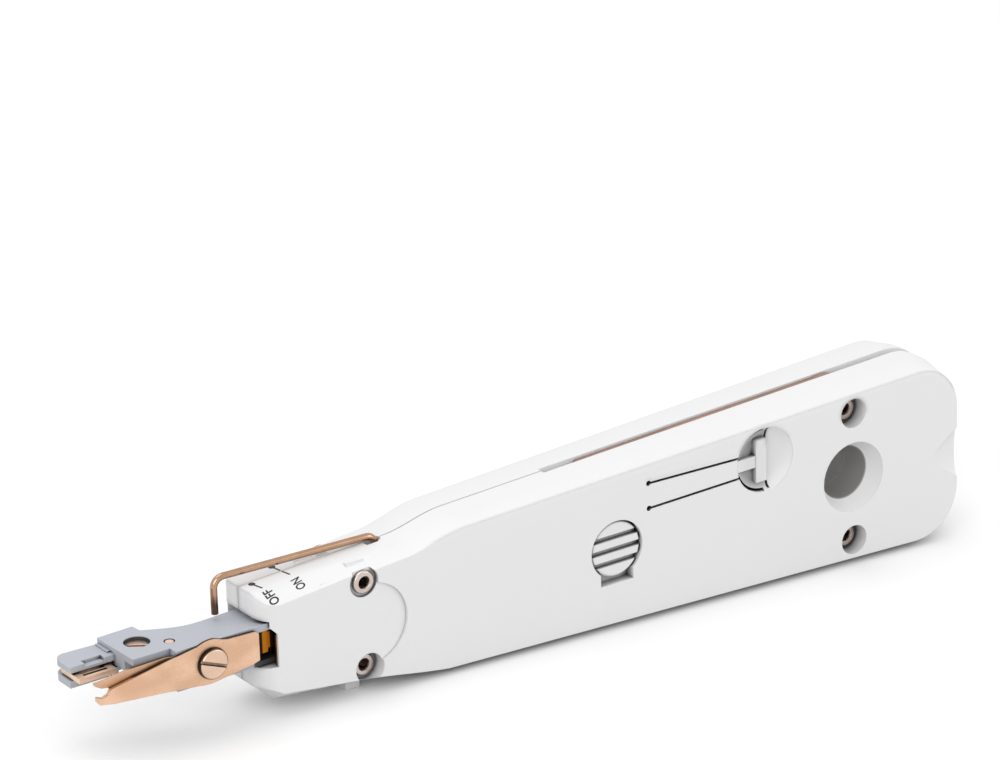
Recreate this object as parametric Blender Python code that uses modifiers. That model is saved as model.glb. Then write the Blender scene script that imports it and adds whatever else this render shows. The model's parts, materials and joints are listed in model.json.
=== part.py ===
"""Punch down tool: a hand tool that presses single wires into connection strips and trims them.

Two moulded half shells, held by four tubular rivets, carry a sliding head with scissors, a swinging
wire bail on the nose, and a hook and a blade that fold into slots in the narrow sides.

All sizes below are in millimetres, and MM turns them into metres where meshes are made.
Tool frame: X runs along the tool from the head (-X) to the rear (+X), with 0 at the ribbed button.
Y runs through the tool, with the lettered face at -Y and the seam at 0. Z runs across the face.
The tool frame is turned at the end, so that the lower narrow side lies level.
"""
import math

import bmesh
import bpy
from mathutils import Matrix, Vector

for leftover in list(bpy.data.objects):
    bpy.data.objects.remove(leftover, do_unlink=True)

MM = 0.001

# Clearances
SEAT = 0.25            # between faces that rest on each other
RUN = 0.4              # between a moving piece and its guide
SHEAR = 0.1            # between the two scissor blades
SEAM = 0.3             # between the two half shells

# Handle
REAR_X = 74.5          # rear end of the face
TAPER = 0.037          # half height gained per length
HALF_HEIGHT = 13.82    # at the button
HALF_THICKNESS = 8.22  # at the button
CUT_SIDE = HALF_THICKNESS + 5.8   # how far cutters reach past the faces
CUT_EDGE = HALF_HEIGHT + 10.2     # and past the narrow sides
THINNING = 0.017       # half thickness gained per length
CROWN = 1.17           # how far the narrow sides rise to the seam
CROWN_FLAT = 3.5       # half width of the level part of a narrow side
RIDGE_ROUND = 1.3
REAR_CORNER_TOP = 8.2
REAR_CORNER_LOW = 9.0

# Nose
NOSE_X = -71.6
NOSE_HALF = 6.9        # half thickness
NOSE_TOP = 7.95        # ridge height at the front
NOSE_TOP_RISE = 0.0787
NOSE_CROWN = 2.55      # rise to the seam at the front
SHOULDER_START = -31.0
SHOULDER_END = -42.5
CHIN = 4.9
CHIN_RIDGE = 7.75      # depth of the lower ridge behind the chin
CHIN_RIDGE_X = -67.6
CHIN_SLOPE = 0.125
LOW_SHOULDER_END = -52.0
LOW_SHOULDER_START = -35.0
NOSE_STEP_X = -49.4    # upright step up to the handle's face
NOSE_ARC_X = -50.5     # middle of the arc in that step
NOSE_ARC_R = 7.5
NOSE_CORNER_R = 4.4    # rounding of the upright front corners

# Channel in the nose
CHANNEL_LOW = -2.9
CHANNEL_MOUTH_TOP = 6.3
CHANNEL_TOP = 5.9
CHANNEL_NEAR = 6.2
CHANNEL_FAR = 5.6
CHANNEL_HALF = 5.6     # half width where the carriage runs
CHANNEL_STEP_X = -56.0
CHANNEL_END_X = -34.0
WINDOW_X = -68.3
STROKE = 3.0

# Spring behind the head
SPRING_Z = 1.7
SPRING_BORE = 3.7
SPRING_R = 2.85
SPRING_WIRE = 0.8
SPRING_END_X = -8.0
SPRING_TURNS = 8

# Rivets
RIVET_SHANK = 1.35
RIVET_BORE = 0.85
RIVET_HOLE = RIVET_SHANK + SEAT
FRONT_RIVET_X = -51.2
FRONT_RIVET_Z = 7.9
FRONT_FLANGE = 2.0
FRONT_POCKET_R = 2.7
FRONT_POCKET_FLOOR = 6.3
LOW_RIVET_X = -50.7    # the lower front rivet sits deeper
LOW_RIVET_Z = -8.1
LOW_POCKET_FLOOR = 4.3
REAR_RIVET_X = 51.3
REAR_RIVET_INSET = 3.52   # from the edge of the face
REAR_RIVET_Z = HALF_HEIGHT + TAPER * REAR_RIVET_X - REAR_RIVET_INSET
REAR_FLANGE = 2.1
REAR_COUNTERBORE = 2.75
REAR_DEPTH = 2.5       # face to the top of the flange
FLANGE_THICK = 0.65

# Hanging hole
HOLE_X = 51.2
HOLE_R = 4.9
DISH_R = 6.55
DISH_DEPTH = 3.0

# Thumb notch in the rear end
NOTCH_TIP_X = 67.8
NOTCH_Z = -1.2
NOTCH_HALF = 5.6
NOTCH_DEPTH = 1.3

# Ribbed button
BUTTON_R = 5.1
BUTTON_BORE = 5.35
BUTTON_FLANGE = 6.0
BUTTON_SINK = 0.3
BUTTON_TRAVEL = 1.2
RIB_PITCH = 2.35
RIB_GROOVE = 1.0
RIB_DEPTH = 1.0
BUTTON_FLANGE_THICK = 1.0
BUTTON_HUB_R = 1.6
BUTTON_HUB = 2.0
BUTTON_CAVITY = BUTTON_FLANGE + RUN
BUTTON_CAVITY_Y = 5.5
BUTTON_SEAT_Y = 3.0

# Latch tongue
TONGUE_X = BUTTON_CAVITY + 0.5
TONGUE_HALF_ROOT = 2.35
TONGUE_HALF_END = 1.9
SLIT = 0.45
THUMB_X = 31.8
THUMB_INSET = 5.42     # below the face's edge at the button
THUMB_Z = HALF_HEIGHT - THUMB_INSET
TONGUE_Z = THUMB_Z - 0.2
THUMB_R = 6.1
THUMB_DEPTH = 1.5
LATCH_WALL = 6.2

# Slots for the hook and the blade
SLOT_HALF = 0.9
PLATE_HALF = 0.6
SLOT_FRONT_X = -9.8
PLATE_TIP_X = -2.6
SLOT_DEPTH = 3.22
SLOT_FLOOR = HALF_HEIGHT - SLOT_DEPTH
PLATE_SINK = 0.3       # spine below the crown
PLATE_EYE = 4.6

# Bail
WIRE_R = 0.65
BAIL_X = -44.3
BAIL_Y = -0.2
BAIL_TOP = 12.4
BAIL_FRONT_X = -75.6
BAIL_FRONT_Y = 1.0
BAIL_FRONT_TOP = 12.7
BAIL_LEG_END = 6.3
BAIL_BEND = 1.8
BAIL_DIP = 8.0

# Head
HEAD_TOP = 5.25
PLATE_THICK = 1.2
HEAD_LOW = -2.6
FLANGE_TOP = -1.75
HEAD_NEAR = 5.75
BLOCK_NEAR = 4.75
SHANK_NEAR = 2.0
SHANK_FAR = 2.1
SHANK_END_X = -50.5
BLADE_THICK = 0.75
PIVOT_X = -81.1
PIVOT_Z = 1.7
PIVOT_HEAD = 2.7
PIVOT_SHANK = 1.5
HEAD_SCREW_X = -90.4
HEAD_SCREW_Y = 1.7
HEAD_PIN_X = -86.0
HEAD_PIN_Y = -1.4
JAW_TIP_X = -103.2
JAW_UPPER = (3.1, 4.2)
JAW_LOWER = (0.4, 1.7)

# Carriage
CARRIAGE_FRONT_X = -55.0
CARRIAGE_REAR_X = -38.0
CARRIAGE_HALF = CHANNEL_HALF - RUN
CARRIAGE_LOW = CHANNEL_LOW + 0.3
CARRIAGE_TOP = CHANNEL_TOP - 0.3
ROD_R = 1.8
ROD_END_X = -CUT_SIDE

# Derived positions
FIXED_OUTER = HEAD_NEAR
FIXED_INNER = HEAD_NEAR - BLADE_THICK
MOVING_INNER = HEAD_NEAR + SHEAR
MOVING_OUTER = MOVING_INNER + BLADE_THICK
TAIL_OUTER = 5.15
TAIL_INNER = TAIL_OUTER - BLADE_THICK


def smooth(value):
    value = min(max(value, 0.0), 1.0)
    return value * value * (3.0 - 2.0 * value)


def half_height(x):
    return HALF_HEIGHT + TAPER * x


def half_thickness(x):
    return HALF_THICKNESS + THINNING * x


def shoulder(x):
    """0 on the handle, 1 on the nose."""
    return smooth((SHOULDER_START - x) / (SHOULDER_START - SHOULDER_END))


def top_ridge(x):
    nose = NOSE_TOP + NOSE_TOP_RISE * (x - NOSE_X)
    return half_height(x) + (nose - half_height(x)) * shoulder(x)


def crown_rise(x):
    nose = NOSE_CROWN - (x - NOSE_X) * (NOSE_CROWN - 1.5) / (SHOULDER_END - NOSE_X)
    return CROWN + (nose - CROWN) * shoulder(x)


# Places

def collection(name):
    made = bpy.data.collections.new(name)
    bpy.context.scene.collection.children.link(made)
    return made


parts = collection("punch_down_tool")
cutters = collection("cutters")


def empty(name, location=(0.0, 0.0, 0.0), parent=None):
    made = bpy.data.objects.new(name, None)
    made.empty_display_size = 0.01
    parts.objects.link(made)
    made.parent = parent
    made.location = Vector(location) * MM
    return made


tool_frame = empty("tool_frame")


def material(name, colour, roughness, metallic=0.0):
    made = bpy.data.materials.new(name)
    made.use_nodes = True
    shader = made.node_tree.nodes["Principled BSDF"]
    shader.inputs["Base Color"].default_value = (*colour, 1.0)
    shader.inputs["Roughness"].default_value = roughness
    shader.inputs["Metallic"].default_value = metallic
    made.diffuse_color = (*colour, 1.0)
    return made


def place(name, data, finish=None, at=(0.0, 0.0, 0.0), parent=None, turn=(0.0, 0.0, 0.0)):
    """A part when it has a finish, else a cutter. at is in millimetres, in the parent's frame."""
    made = bpy.data.objects.new(name, data)
    (parts if finish else cutters).objects.link(made)
    made.parent = parent or tool_frame
    made.location = Vector(at) * MM
    made.rotation_euler = turn
    if finish:
        data.materials.append(finish)
    else:
        made.hide_render = True
        made.display_type = "WIRE"
    return made


# Shapes

TO_PLANE = {
    "XY": Matrix(((1, 0, 0, 0), (0, 1, 0, 0), (0, 0, 1, 0), (0, 0, 0, 1))),
    "XZ": Matrix(((1, 0, 0, 0), (0, 0, -1, 0), (0, 1, 0, 0), (0, 0, 0, 1))),
    "YZ": Matrix(((0, 0, 1, 0), (1, 0, 0, 0), (0, 1, 0, 0), (0, 0, 0, 1))),
}


def flat_mesh(name, outline, low, high, plane="XZ", holes=()):
    """A flat outline, extruded from low to high along the third axis."""
    curve = bpy.data.curves.new(name, "CURVE")
    curve.dimensions = "2D"
    curve.fill_mode = "BOTH"
    curve.extrude = abs(high - low) / 2.0 * MM
    for loop in (outline, *holes):
        spline = curve.splines.new("POLY")
        spline.points.add(len(loop) - 1)
        for point, (a, b) in zip(spline.points, loop):
            point.co = (a * MM, b * MM, 0.0, 1.0)
        spline.use_cyclic_u = True
    holder = bpy.data.objects.new(name + "_outline", curve)
    bpy.context.scene.collection.objects.link(holder)
    graph = bpy.context.evaluated_depsgraph_get()
    mesh = bpy.data.meshes.new_from_object(holder.evaluated_get(graph))
    bpy.data.objects.remove(holder, do_unlink=True)
    third = {"XY": 2, "XZ": 1, "YZ": 0}[plane]
    shift = Vector((0.0, 0.0, 0.0))
    shift[third] = (low + high) / 2.0 * MM
    mesh.transform(Matrix.Translation(shift) @ TO_PLANE[plane])
    body = bmesh.new()
    body.from_mesh(mesh)
    bmesh.ops.remove_doubles(body, verts=body.verts, dist=1e-7)
    bmesh.ops.recalc_face_normals(body, faces=body.faces)
    body.to_mesh(mesh)
    body.free()
    return mesh


def box_mesh(name, x, y, z):
    """A box between two values on each axis."""
    body = bmesh.new()
    bmesh.ops.create_cube(body, size=1.0)
    size = Matrix.Diagonal(((x[1] - x[0]) * MM, (y[1] - y[0]) * MM, (z[1] - z[0]) * MM, 1.0))
    middle = Vector((x[0] + x[1], y[0] + y[1], z[0] + z[1])) * 0.5 * MM
    bmesh.ops.transform(body, matrix=Matrix.Translation(middle) @ size, verts=body.verts)
    mesh = bpy.data.meshes.new(name)
    body.to_mesh(mesh)
    body.free()
    return mesh


AXIS_TURN = {
    "Z": Matrix.Identity(4),
    "Y": Matrix.Rotation(math.radians(-90.0), 4, "X"),
    "X": Matrix.Rotation(math.radians(90.0), 4, "Y"),
}


def rod_mesh(name, radius, low, high, axis, centre, end_radius=None, sides=32):
    """A cylinder or cone along an axis. centre holds the two other coordinates, in XYZ order."""
    body = bmesh.new()
    other = radius if end_radius is None else end_radius
    bmesh.ops.create_cone(body, cap_ends=True, segments=sides, radius1=radius * MM,
                          radius2=other * MM, depth=(high - low) * MM)
    middle = (low + high) / 2.0
    spot = {"X": (middle, *centre), "Y": (centre[0], middle, centre[1]), "Z": (*centre, middle)}[axis]
    bmesh.ops.transform(body, matrix=Matrix.Translation(Vector(spot) * MM) @ AXIS_TURN[axis],
                        verts=body.verts)
    mesh = bpy.data.meshes.new(name)
    body.to_mesh(mesh)
    body.free()
    return mesh


def turned(name, profile, finish=None, at=(0.0, 0.0, 0.0), turn=(0.0, 0.0, 0.0), parent=None,
           sides=24, ring=False):
    """A profile of (radius, height) points, turned round the object's own Z by a Screw modifier."""
    mesh = bpy.data.meshes.new(name)
    points = [(radius * MM, 0.0, height * MM) for radius, height in profile]
    edges = [(i, i + 1) for i in range(len(points) - 1)]
    if ring:
        edges.append((len(points) - 1, 0))
    mesh.from_pydata(points, edges, [])
    made = place(name, mesh, finish, at, parent, turn)
    screw = made.modifiers.new("turn", "SCREW")
    screw.axis = "Z"
    screw.steps = sides
    screw.render_steps = sides
    screw.use_merge_vertices = True
    screw.merge_threshold = 1e-6
    return made


def combine(target, operation, *others):
    for other in others:
        step = target.modifiers.new(other.name, "BOOLEAN")
        step.operation = operation
        step.object = other
        step.solver = "EXACT"


def cut(target, *others):
    combine(target, "DIFFERENCE", *others)


def join(target, *others):
    combine(target, "UNION", *others)


def soften(target, width, angle=40.0, segments=2):
    step = target.modifiers.new("round_edges", "BEVEL")
    step.width = width * MM
    step.segments = segments
    step.limit_method = "ANGLE"
    step.angle_limit = math.radians(angle)
    step.harden_normals = False


def arc(centre, radius, start, end, steps):
    """Points on an arc, angles in degrees."""
    found = []
    for i in range(steps + 1):
        angle = math.radians(start + (end - start) * i / steps)
        found.append((centre[0] + radius * math.cos(angle), centre[1] + radius * math.sin(angle)))
    return found


def flowing(points, steps):
    """A smooth line through a few chosen points."""
    found = []
    for i in range(len(points) - 1):
        before = Vector(points[max(i - 1, 0)])
        a = Vector(points[i])
        b = Vector(points[i + 1])
        after = Vector(points[min(i + 2, len(points) - 1)])
        for k in range(steps):
            t = k / steps
            found.append(tuple(0.5 * (2 * a + (b - before) * t + (2 * before - 5 * a + 4 * b - after) * t * t
                                      + (3 * a - before - 3 * b + after) * t * t * t)))
    found.append(tuple(points[-1]))
    return found


# Finishes

shell_white = material("shell_white", (0.80, 0.80, 0.81), 0.45)
button_white = material("button_white", (0.78, 0.78, 0.79), 0.45)
rivet_nickel = material("rivet_nickel", (0.72, 0.68, 0.62), 0.28, 1.0)
head_grey = material("head_grey", (0.30, 0.34, 0.39), 0.42, 0.2)
blade_copper = material("blade_copper", (0.78, 0.52, 0.38), 0.3, 1.0)
screw_copper = material("screw_copper", (0.74, 0.52, 0.38), 0.3, 1.0)
bronze = material("bronze", (0.62, 0.32, 0.08), 0.35, 1.0)
spring_steel = material("spring_steel", (0.60, 0.60, 0.60), 0.3, 1.0)
wire_gold = material("wire_gold", (0.66, 0.50, 0.36), 0.25, 1.0)
tool_steel = material("tool_steel", (0.52, 0.46, 0.42), 0.32, 1.0)
carriage_dark = material("carriage_dark", (0.07, 0.07, 0.08), 0.5)

# Half shells


def low_ridge(x):
    """Depth of the lower edge of the face: a straight run on the nose that bends into the handle."""
    nose = CHIN_RIDGE + CHIN_SLOPE * (x - CHIN_RIDGE_X)
    bend = min(max((x - LOW_SHOULDER_END) / (LOW_SHOULDER_START - LOW_SHOULDER_END), 0.0), 1.0) ** 2
    return nose + (half_height(x) - nose) * bend


def low_ridge_points():
    straight = [CHIN_RIDGE_X + (LOW_SHOULDER_END - CHIN_RIDGE_X) * i / 4 for i in range(4)]
    bend = [LOW_SHOULDER_END + (LOW_SHOULDER_START - LOW_SHOULDER_END) * i / 10 for i in range(11)]
    return [(x, low_ridge(x)) for x in straight + bend]


def shell_outline():
    """(x, z, outward x, outward z, crown rise, ridge rounding) round the face, seen from -Y."""
    rows = []
    rows.append((NOSE_X, -CHIN, 0.0, -1.0, 1.7, 0.3))
    for x, depth in low_ridge_points():
        rise = min(crown_rise(x), half_height(x) + CROWN - depth)
        rows.append((x, -depth, 0.0, -1.0, rise, 0.3 + 0.7 * smooth((x + 50.0) / 15.0)))
    for x in (-10.0, 20.0, 45.0):
        rows.append((x, -half_height(x), 0.0, -1.0, CROWN, 1.0))
    low_centre = (REAR_X - REAR_CORNER_LOW, -half_height(REAR_X - REAR_CORNER_LOW) + REAR_CORNER_LOW)
    for x, z in arc(low_centre, REAR_CORNER_LOW, -90.0, 0.0, 9):
        out = (Vector((x, z)) - Vector(low_centre)).normalized()
        rows.append((x, z, out.x, out.y, CROWN, 1.0))
    top_centre = (REAR_X - REAR_CORNER_TOP, half_height(REAR_X - REAR_CORNER_TOP) - REAR_CORNER_TOP)
    for x, z in arc(top_centre, REAR_CORNER_TOP, 0.0, 90.0, 9):
        out = (Vector((x, z)) - Vector(top_centre)).normalized()
        rows.append((x, z, out.x, out.y, CROWN, 1.0))
    for x in (45.0, 20.0, -10.0):
        rows.append((x, half_height(x), 0.0, 1.0, CROWN, 1.0))
    steps = 8
    for i in range(steps + 1):
        x = SHOULDER_START + (SHOULDER_END - SHOULDER_START) * i / steps
        rows.append((x, top_ridge(x), 0.0, 1.0, crown_rise(x), 1.0 - 0.7 * i / steps))
    for x in (-52.0, -62.0, NOSE_X):
        rows.append((x, top_ridge(x), 0.0, 1.0, crown_rise(x), 0.3))
    return rows


def shell(name, side):
    """A half shell, lofted from the edge of the face to the crown and to the seam."""
    rows = shell_outline()
    body = bmesh.new()
    weight = body.edges.layers.float.new("bevel_weight_edge")
    loops = []
    for level in range(3):
        loop = []
        for x, z, out_x, out_z, rise, _ in rows:
            if level == 0:
                spot = (x, side * half_thickness(x), z)
            else:
                y = CROWN_FLAT if level == 1 else SEAM / 2.0
                spot = (x + out_x * rise, side * y, z + out_z * rise)
            loop.append(body.verts.new(Vector(spot) * MM))
        loops.append(loop)
    count = len(rows)
    for low, high in zip(loops, loops[1:]):
        for i in range(count):
            j = (i + 1) % count
            body.faces.new((low[i], low[j], high[j], high[i]))
    body.faces.new(loops[0])
    body.faces.new(loops[-1])
    bmesh.ops.recalc_face_normals(body, faces=body.faces)
    for i in range(count - 1):
        edge = body.edges.get((loops[0][i], loops[0][i + 1]))
        edge[weight] = (rows[i][5] + rows[i + 1][5]) / 2.0
    mesh = bpy.data.meshes.new(name)
    body.to_mesh(mesh)
    body.free()
    made = place(name, mesh, shell_white)
    ridge = made.modifiers.new("ridge", "BEVEL")
    ridge.width = RIDGE_ROUND * MM
    ridge.segments = 3
    ridge.limit_method = "WEIGHT"
    return made


housing_front = shell("housing_front", -1)
housing_back = shell("housing_back", 1)

# Foot under the nose and the small stops on its top, moulded with the shells.
FOOT_X = (-53.2, -50.4)
FOOT_SHY = 0.03        # short of the line on which the narrow side lies
foot_bottom = FOOT_SHY - (HALF_HEIGHT + CROWN + TAPER * sum(FOOT_X) / 2.0)


def foot_outline():
    fall = TAPER * (FOOT_X[1] - FOOT_X[0]) / 2.0
    root = 1.1 - low_ridge(FOOT_X[0])
    return [(FOOT_X[0], foot_bottom + fall), (FOOT_X[0], root),
            (FOOT_X[1], root), (FOOT_X[1], foot_bottom - fall)]


for shell_object, side in ((housing_front, -1), (housing_back, 1)):
    inner, outer = sorted((side * (SEAM / 2.0 + 0.02), side * 3.0))
    foot = place("foot_" + shell_object.name, flat_mesh("foot", foot_outline(), inner, outer))
    join(shell_object, foot)

def nose_stop(name, x, y, base, rise):
    """A small block on the nose, from below its skin to rise above base."""
    return place(name, box_mesh(name, x, y, (base - STOP_ROOT, base + rise)))


def nose_crown(x):
    return top_ridge(x) + crown_rise(x)


STOP_ROOT = 1.5
low_stop_a = nose_stop("low_stop_a", (-59.3, -56.0), (-6.3, -5.5), top_ridge(-57.65), 0.55)
low_stop_b = nose_stop("low_stop_b", (-53.3, -49.8), (-5.0, -4.2), top_ridge(-51.55), 1.57)
bail_stop_a = nose_stop("bail_stop_a", (-59.7, -56.3), (0.5, 1.4), nose_crown(-58.0), 0.37)
bail_stop_b = nose_stop("bail_stop_b", (-55.4, -53.4), (0.8, 1.8), nose_crown(-54.4), 0.52)
join(housing_front, low_stop_a, low_stop_b)
join(housing_back, bail_stop_a, bail_stop_b)

# Channel for the sliding head, wider at the mouth, and the bore for its spring.
mouth_section = [(-CHANNEL_NEAR, CHANNEL_LOW), (CHANNEL_FAR, CHANNEL_LOW), (CHANNEL_FAR, CHANNEL_MOUTH_TOP - 0.6),
                 (3.0, CHANNEL_MOUTH_TOP), (-3.0, CHANNEL_MOUTH_TOP), (-CHANNEL_NEAR, CHANNEL_MOUTH_TOP - 0.7)]
mouth = place("channel_mouth", flat_mesh("channel_mouth", mouth_section, NOSE_X - 8.0, CHANNEL_STEP_X, "YZ"))
run = place("channel_run", box_mesh("channel_run", (CHANNEL_STEP_X - 1.0, CHANNEL_END_X),
                                    (-CHANNEL_HALF, CHANNEL_HALF), (CHANNEL_LOW + 0.01, CHANNEL_TOP)))
spring_bore = place("spring_bore", rod_mesh("spring_bore", SPRING_BORE, CHANNEL_END_X - 1.0,
                                            SPRING_END_X, "X", (0.0, SPRING_Z), sides=24))

# Slots in the narrow sides: the floor drops round the pivots, and runs out of the rear end.
slot_pivot_floor = REAR_RIVET_Z - PLATE_EYE - RUN
slot_rear_floor = slot_pivot_floor + 1.15


def slot_outline(sign):
    points = [(SLOT_FRONT_X, SLOT_FLOOR), (REAR_RIVET_X - PLATE_EYE - 0.8, SLOT_FLOOR),
              (REAR_RIVET_X - PLATE_EYE - 0.8, slot_pivot_floor), (REAR_RIVET_X + 1.0, slot_pivot_floor),
              (REAR_X + 8.0, slot_rear_floor), (REAR_X + 8.0, CUT_EDGE), (SLOT_FRONT_X, CUT_EDGE)]
    return [(x, sign * z) for x, z in points]


slot_top = place("slot_top", flat_mesh("slot_top", slot_outline(1), -SLOT_HALF, SLOT_HALF))
slot_low = place("slot_low", flat_mesh("slot_low", slot_outline(-1), -SLOT_HALF, SLOT_HALF))

# Hanging hole, with a dish on both faces.
hole_face = half_thickness(HOLE_X)
hanging_hole = turned("hanging_hole", [
    (0.0, hole_face + 4.0), (DISH_R + 0.3, hole_face + 4.0), (DISH_R, hole_face - 0.2),
    (HOLE_R + 0.55, hole_face - DISH_DEPTH * 0.75), (HOLE_R, hole_face - DISH_DEPTH),
    (HOLE_R, DISH_DEPTH - hole_face), (HOLE_R + 0.55, DISH_DEPTH * 0.75 - hole_face),
    (DISH_R, 0.2 - hole_face), (DISH_R + 0.3, -hole_face - 4.0), (0.0, -hole_face - 4.0)],
    at=(HOLE_X, 0.0, 0.0), turn=(math.radians(90.0), 0.0, 0.0), sides=36)

# Socket of the bail, on the seam.
bail_socket = place("bail_socket", rod_mesh("bail_socket", WIRE_R + 0.3, BAIL_DIP - 0.4, 20.0, "Z",
                                            (BAIL_X, BAIL_Y), sides=16))

bail_relief = place("bail_relief", box_mesh(
    "bail_relief", (BAIL_X - BAIL_BEND - WIRE_R, BAIL_X), (BAIL_Y - WIRE_R - 0.65, BAIL_Y + WIRE_R + 0.35),
    (BAIL_TOP - BAIL_BEND - 0.8, 20.0)))

# Rivet holes.
rivet_spots = {
    "rivet_front_upper": (FRONT_RIVET_X, FRONT_RIVET_Z), "rivet_front_lower": (LOW_RIVET_X, LOW_RIVET_Z),
    "rivet_rear_upper": (REAR_RIVET_X, REAR_RIVET_Z), "rivet_rear_lower": (REAR_RIVET_X, -REAR_RIVET_Z)}
rivet_holes = []
for rivet, spot in rivet_spots.items():
    rivet_holes.append(place(rivet + "_hole", rod_mesh(rivet + "_hole", RIVET_HOLE, -CUT_SIDE, CUT_SIDE, "Y",
                                                       spot, sides=20)))

for shell_object in (housing_front, housing_back):
    cut(shell_object, mouth, run, spring_bore, slot_top, slot_low, hanging_hole, bail_socket, bail_relief,
        *rivet_holes)

rear_face = half_thickness(REAR_RIVET_X)
rear_flange_top = rear_face - REAR_DEPTH
rear_seat = rear_flange_top - FLANGE_THICK - SEAT
front_flange_top = FRONT_POCKET_FLOOR + SEAT + FLANGE_THICK
low_flange_top = LOW_POCKET_FLOOR + SEAT + FLANGE_THICK

step_angle = math.degrees(math.acos((NOSE_STEP_X - NOSE_ARC_X) / NOSE_ARC_R))
nose_face_outline = [(NOSE_X - 8.0, -CUT_EDGE), (NOSE_STEP_X, -CUT_EDGE)]
nose_face_outline += arc((NOSE_ARC_X, 0.0), NOSE_ARC_R, -step_angle, step_angle, 20)
nose_face_outline += [(NOSE_STEP_X, CUT_EDGE), (NOSE_X - 8.0, CUT_EDGE)]
nose_corner_plan = [(NOSE_X + NOSE_CORNER_R + 0.2, CUT_SIDE), (NOSE_X + NOSE_CORNER_R + 0.2, NOSE_HALF + 0.04)]
nose_corner_plan += arc((NOSE_X + NOSE_CORNER_R, NOSE_HALF - NOSE_CORNER_R), NOSE_CORNER_R, 96.0, 174.0, 6)
nose_corner_plan += [(NOSE_X - 0.1, NOSE_HALF - NOSE_CORNER_R - 0.6), (NOSE_X - 3.0, NOSE_HALF - NOSE_CORNER_R - 0.6),
                     (NOSE_X - 3.0, CUT_SIDE)]

for shell_object, side in ((housing_front, -1), (housing_back, 1)):
    tag = "_" + shell_object.name
    # Nose face, set back from the handle's face, with its rounded front corner.
    face_span = sorted((side * NOSE_HALF, side * CUT_SIDE))
    nose_cut = place("nose_face" + tag, flat_mesh("nose_face", nose_face_outline, *face_span))
    corner_cut = place("nose_corner" + tag, flat_mesh("nose_corner", [(x, side * y) for x, y in nose_corner_plan],
                                                      -CUT_EDGE, CUT_EDGE, "XY"))
    cut(shell_object, corner_cut, nose_cut)
    for sign, spot, floor in ((1, (FRONT_RIVET_X, FRONT_RIVET_Z), FRONT_POCKET_FLOOR),
                              (-1, (LOW_RIVET_X, LOW_RIVET_Z), LOW_POCKET_FLOOR)):
        pocket_span = sorted((side * floor, side * (CUT_SIDE - 1.0)))
        pocket = place("front_pocket" + tag + str(sign), rod_mesh(
            "front_pocket", FRONT_POCKET_R, *pocket_span, "Y", spot, sides=28))
        bore_span = sorted((side * rear_seat, side * CUT_SIDE))
        bore = place("rear_counterbore" + tag + str(sign), rod_mesh(
            "rear_counterbore", REAR_COUNTERBORE, *bore_span, "Y", (REAR_RIVET_X, sign * REAR_RIVET_Z), sides=28))
        cut(shell_object, pocket, bore)

# Thumb notch in the rear edge of both faces.
notch_length = REAR_X + CROWN - NOTCH_TIP_X + 4.0
notch_radius = NOTCH_HALF * notch_length / (REAR_X + CROWN - NOTCH_TIP_X)
for shell_object, side in ((housing_front, -1), (housing_back, 1)):
    notch_mesh = rod_mesh("thumb_notch", 0.01, NOTCH_TIP_X, NOTCH_TIP_X + notch_length, "X", (0.0, NOTCH_Z),
                          end_radius=notch_radius, sides=32)
    notch_mesh.transform(Matrix.Diagonal((1.0, NOTCH_DEPTH / NOTCH_HALF, 1.0, 1.0)))
    notch = place("thumb_notch_" + shell_object.name, notch_mesh,
                  at=(0.0, side * half_thickness(REAR_X), 0.0))
    cut(shell_object, notch)

# Window in the near wall of the nose, beside the blade's tail.
window_outline = [(NOSE_X - 8.0, CHANNEL_LOW + 0.1), (WINDOW_X, CHANNEL_LOW + 0.1), (WINDOW_X, 3.2),
                  (WINDOW_X - 1.1, 4.35), (NOSE_X - 8.0, 4.35)]
window = place("window", flat_mesh("window", window_outline, -CUT_SIDE, -CHANNEL_NEAR + 0.3))

# Button: bore, cavity behind it, spring seat and the notch under it.
button_face = half_thickness(0.0)
button_bore = place("button_bore", rod_mesh("button_bore", BUTTON_BORE, -CUT_SIDE, -BUTTON_CAVITY_Y + 0.2, "Y",
                                            (0.0, 0.0), sides=40))
button_cavity = place("button_cavity", rod_mesh("button_cavity", BUTTON_CAVITY, -BUTTON_CAVITY_Y, 1.0, "Y",
                                                (0.0, 0.0), sides=32))
button_seat = place("button_seat", rod_mesh("button_seat", 4.0, -1.0, BUTTON_SEAT_Y, "Y", (0.0, 0.0), sides=24))
button_notch = place("button_notch", box_mesh("button_notch", (-3.5, 3.3), (-CUT_SIDE, -button_face + 2.0),
                                              (-6.3, -3.0)))

# Latch tongue: two slits with relief holes, a thumb dish with a standing T, and arc gaps that free it.
tongue_end_x = THUMB_X - 5.2


def slit_outline(sign):
    half = SLIT / 2.0
    root = TONGUE_Z + sign * TONGUE_HALF_ROOT
    end = TONGUE_Z + sign * TONGUE_HALF_END
    return [(TONGUE_X, root - half), (tongue_end_x, end - half), (tongue_end_x, end + half),
            (TONGUE_X, root + half)]


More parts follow.
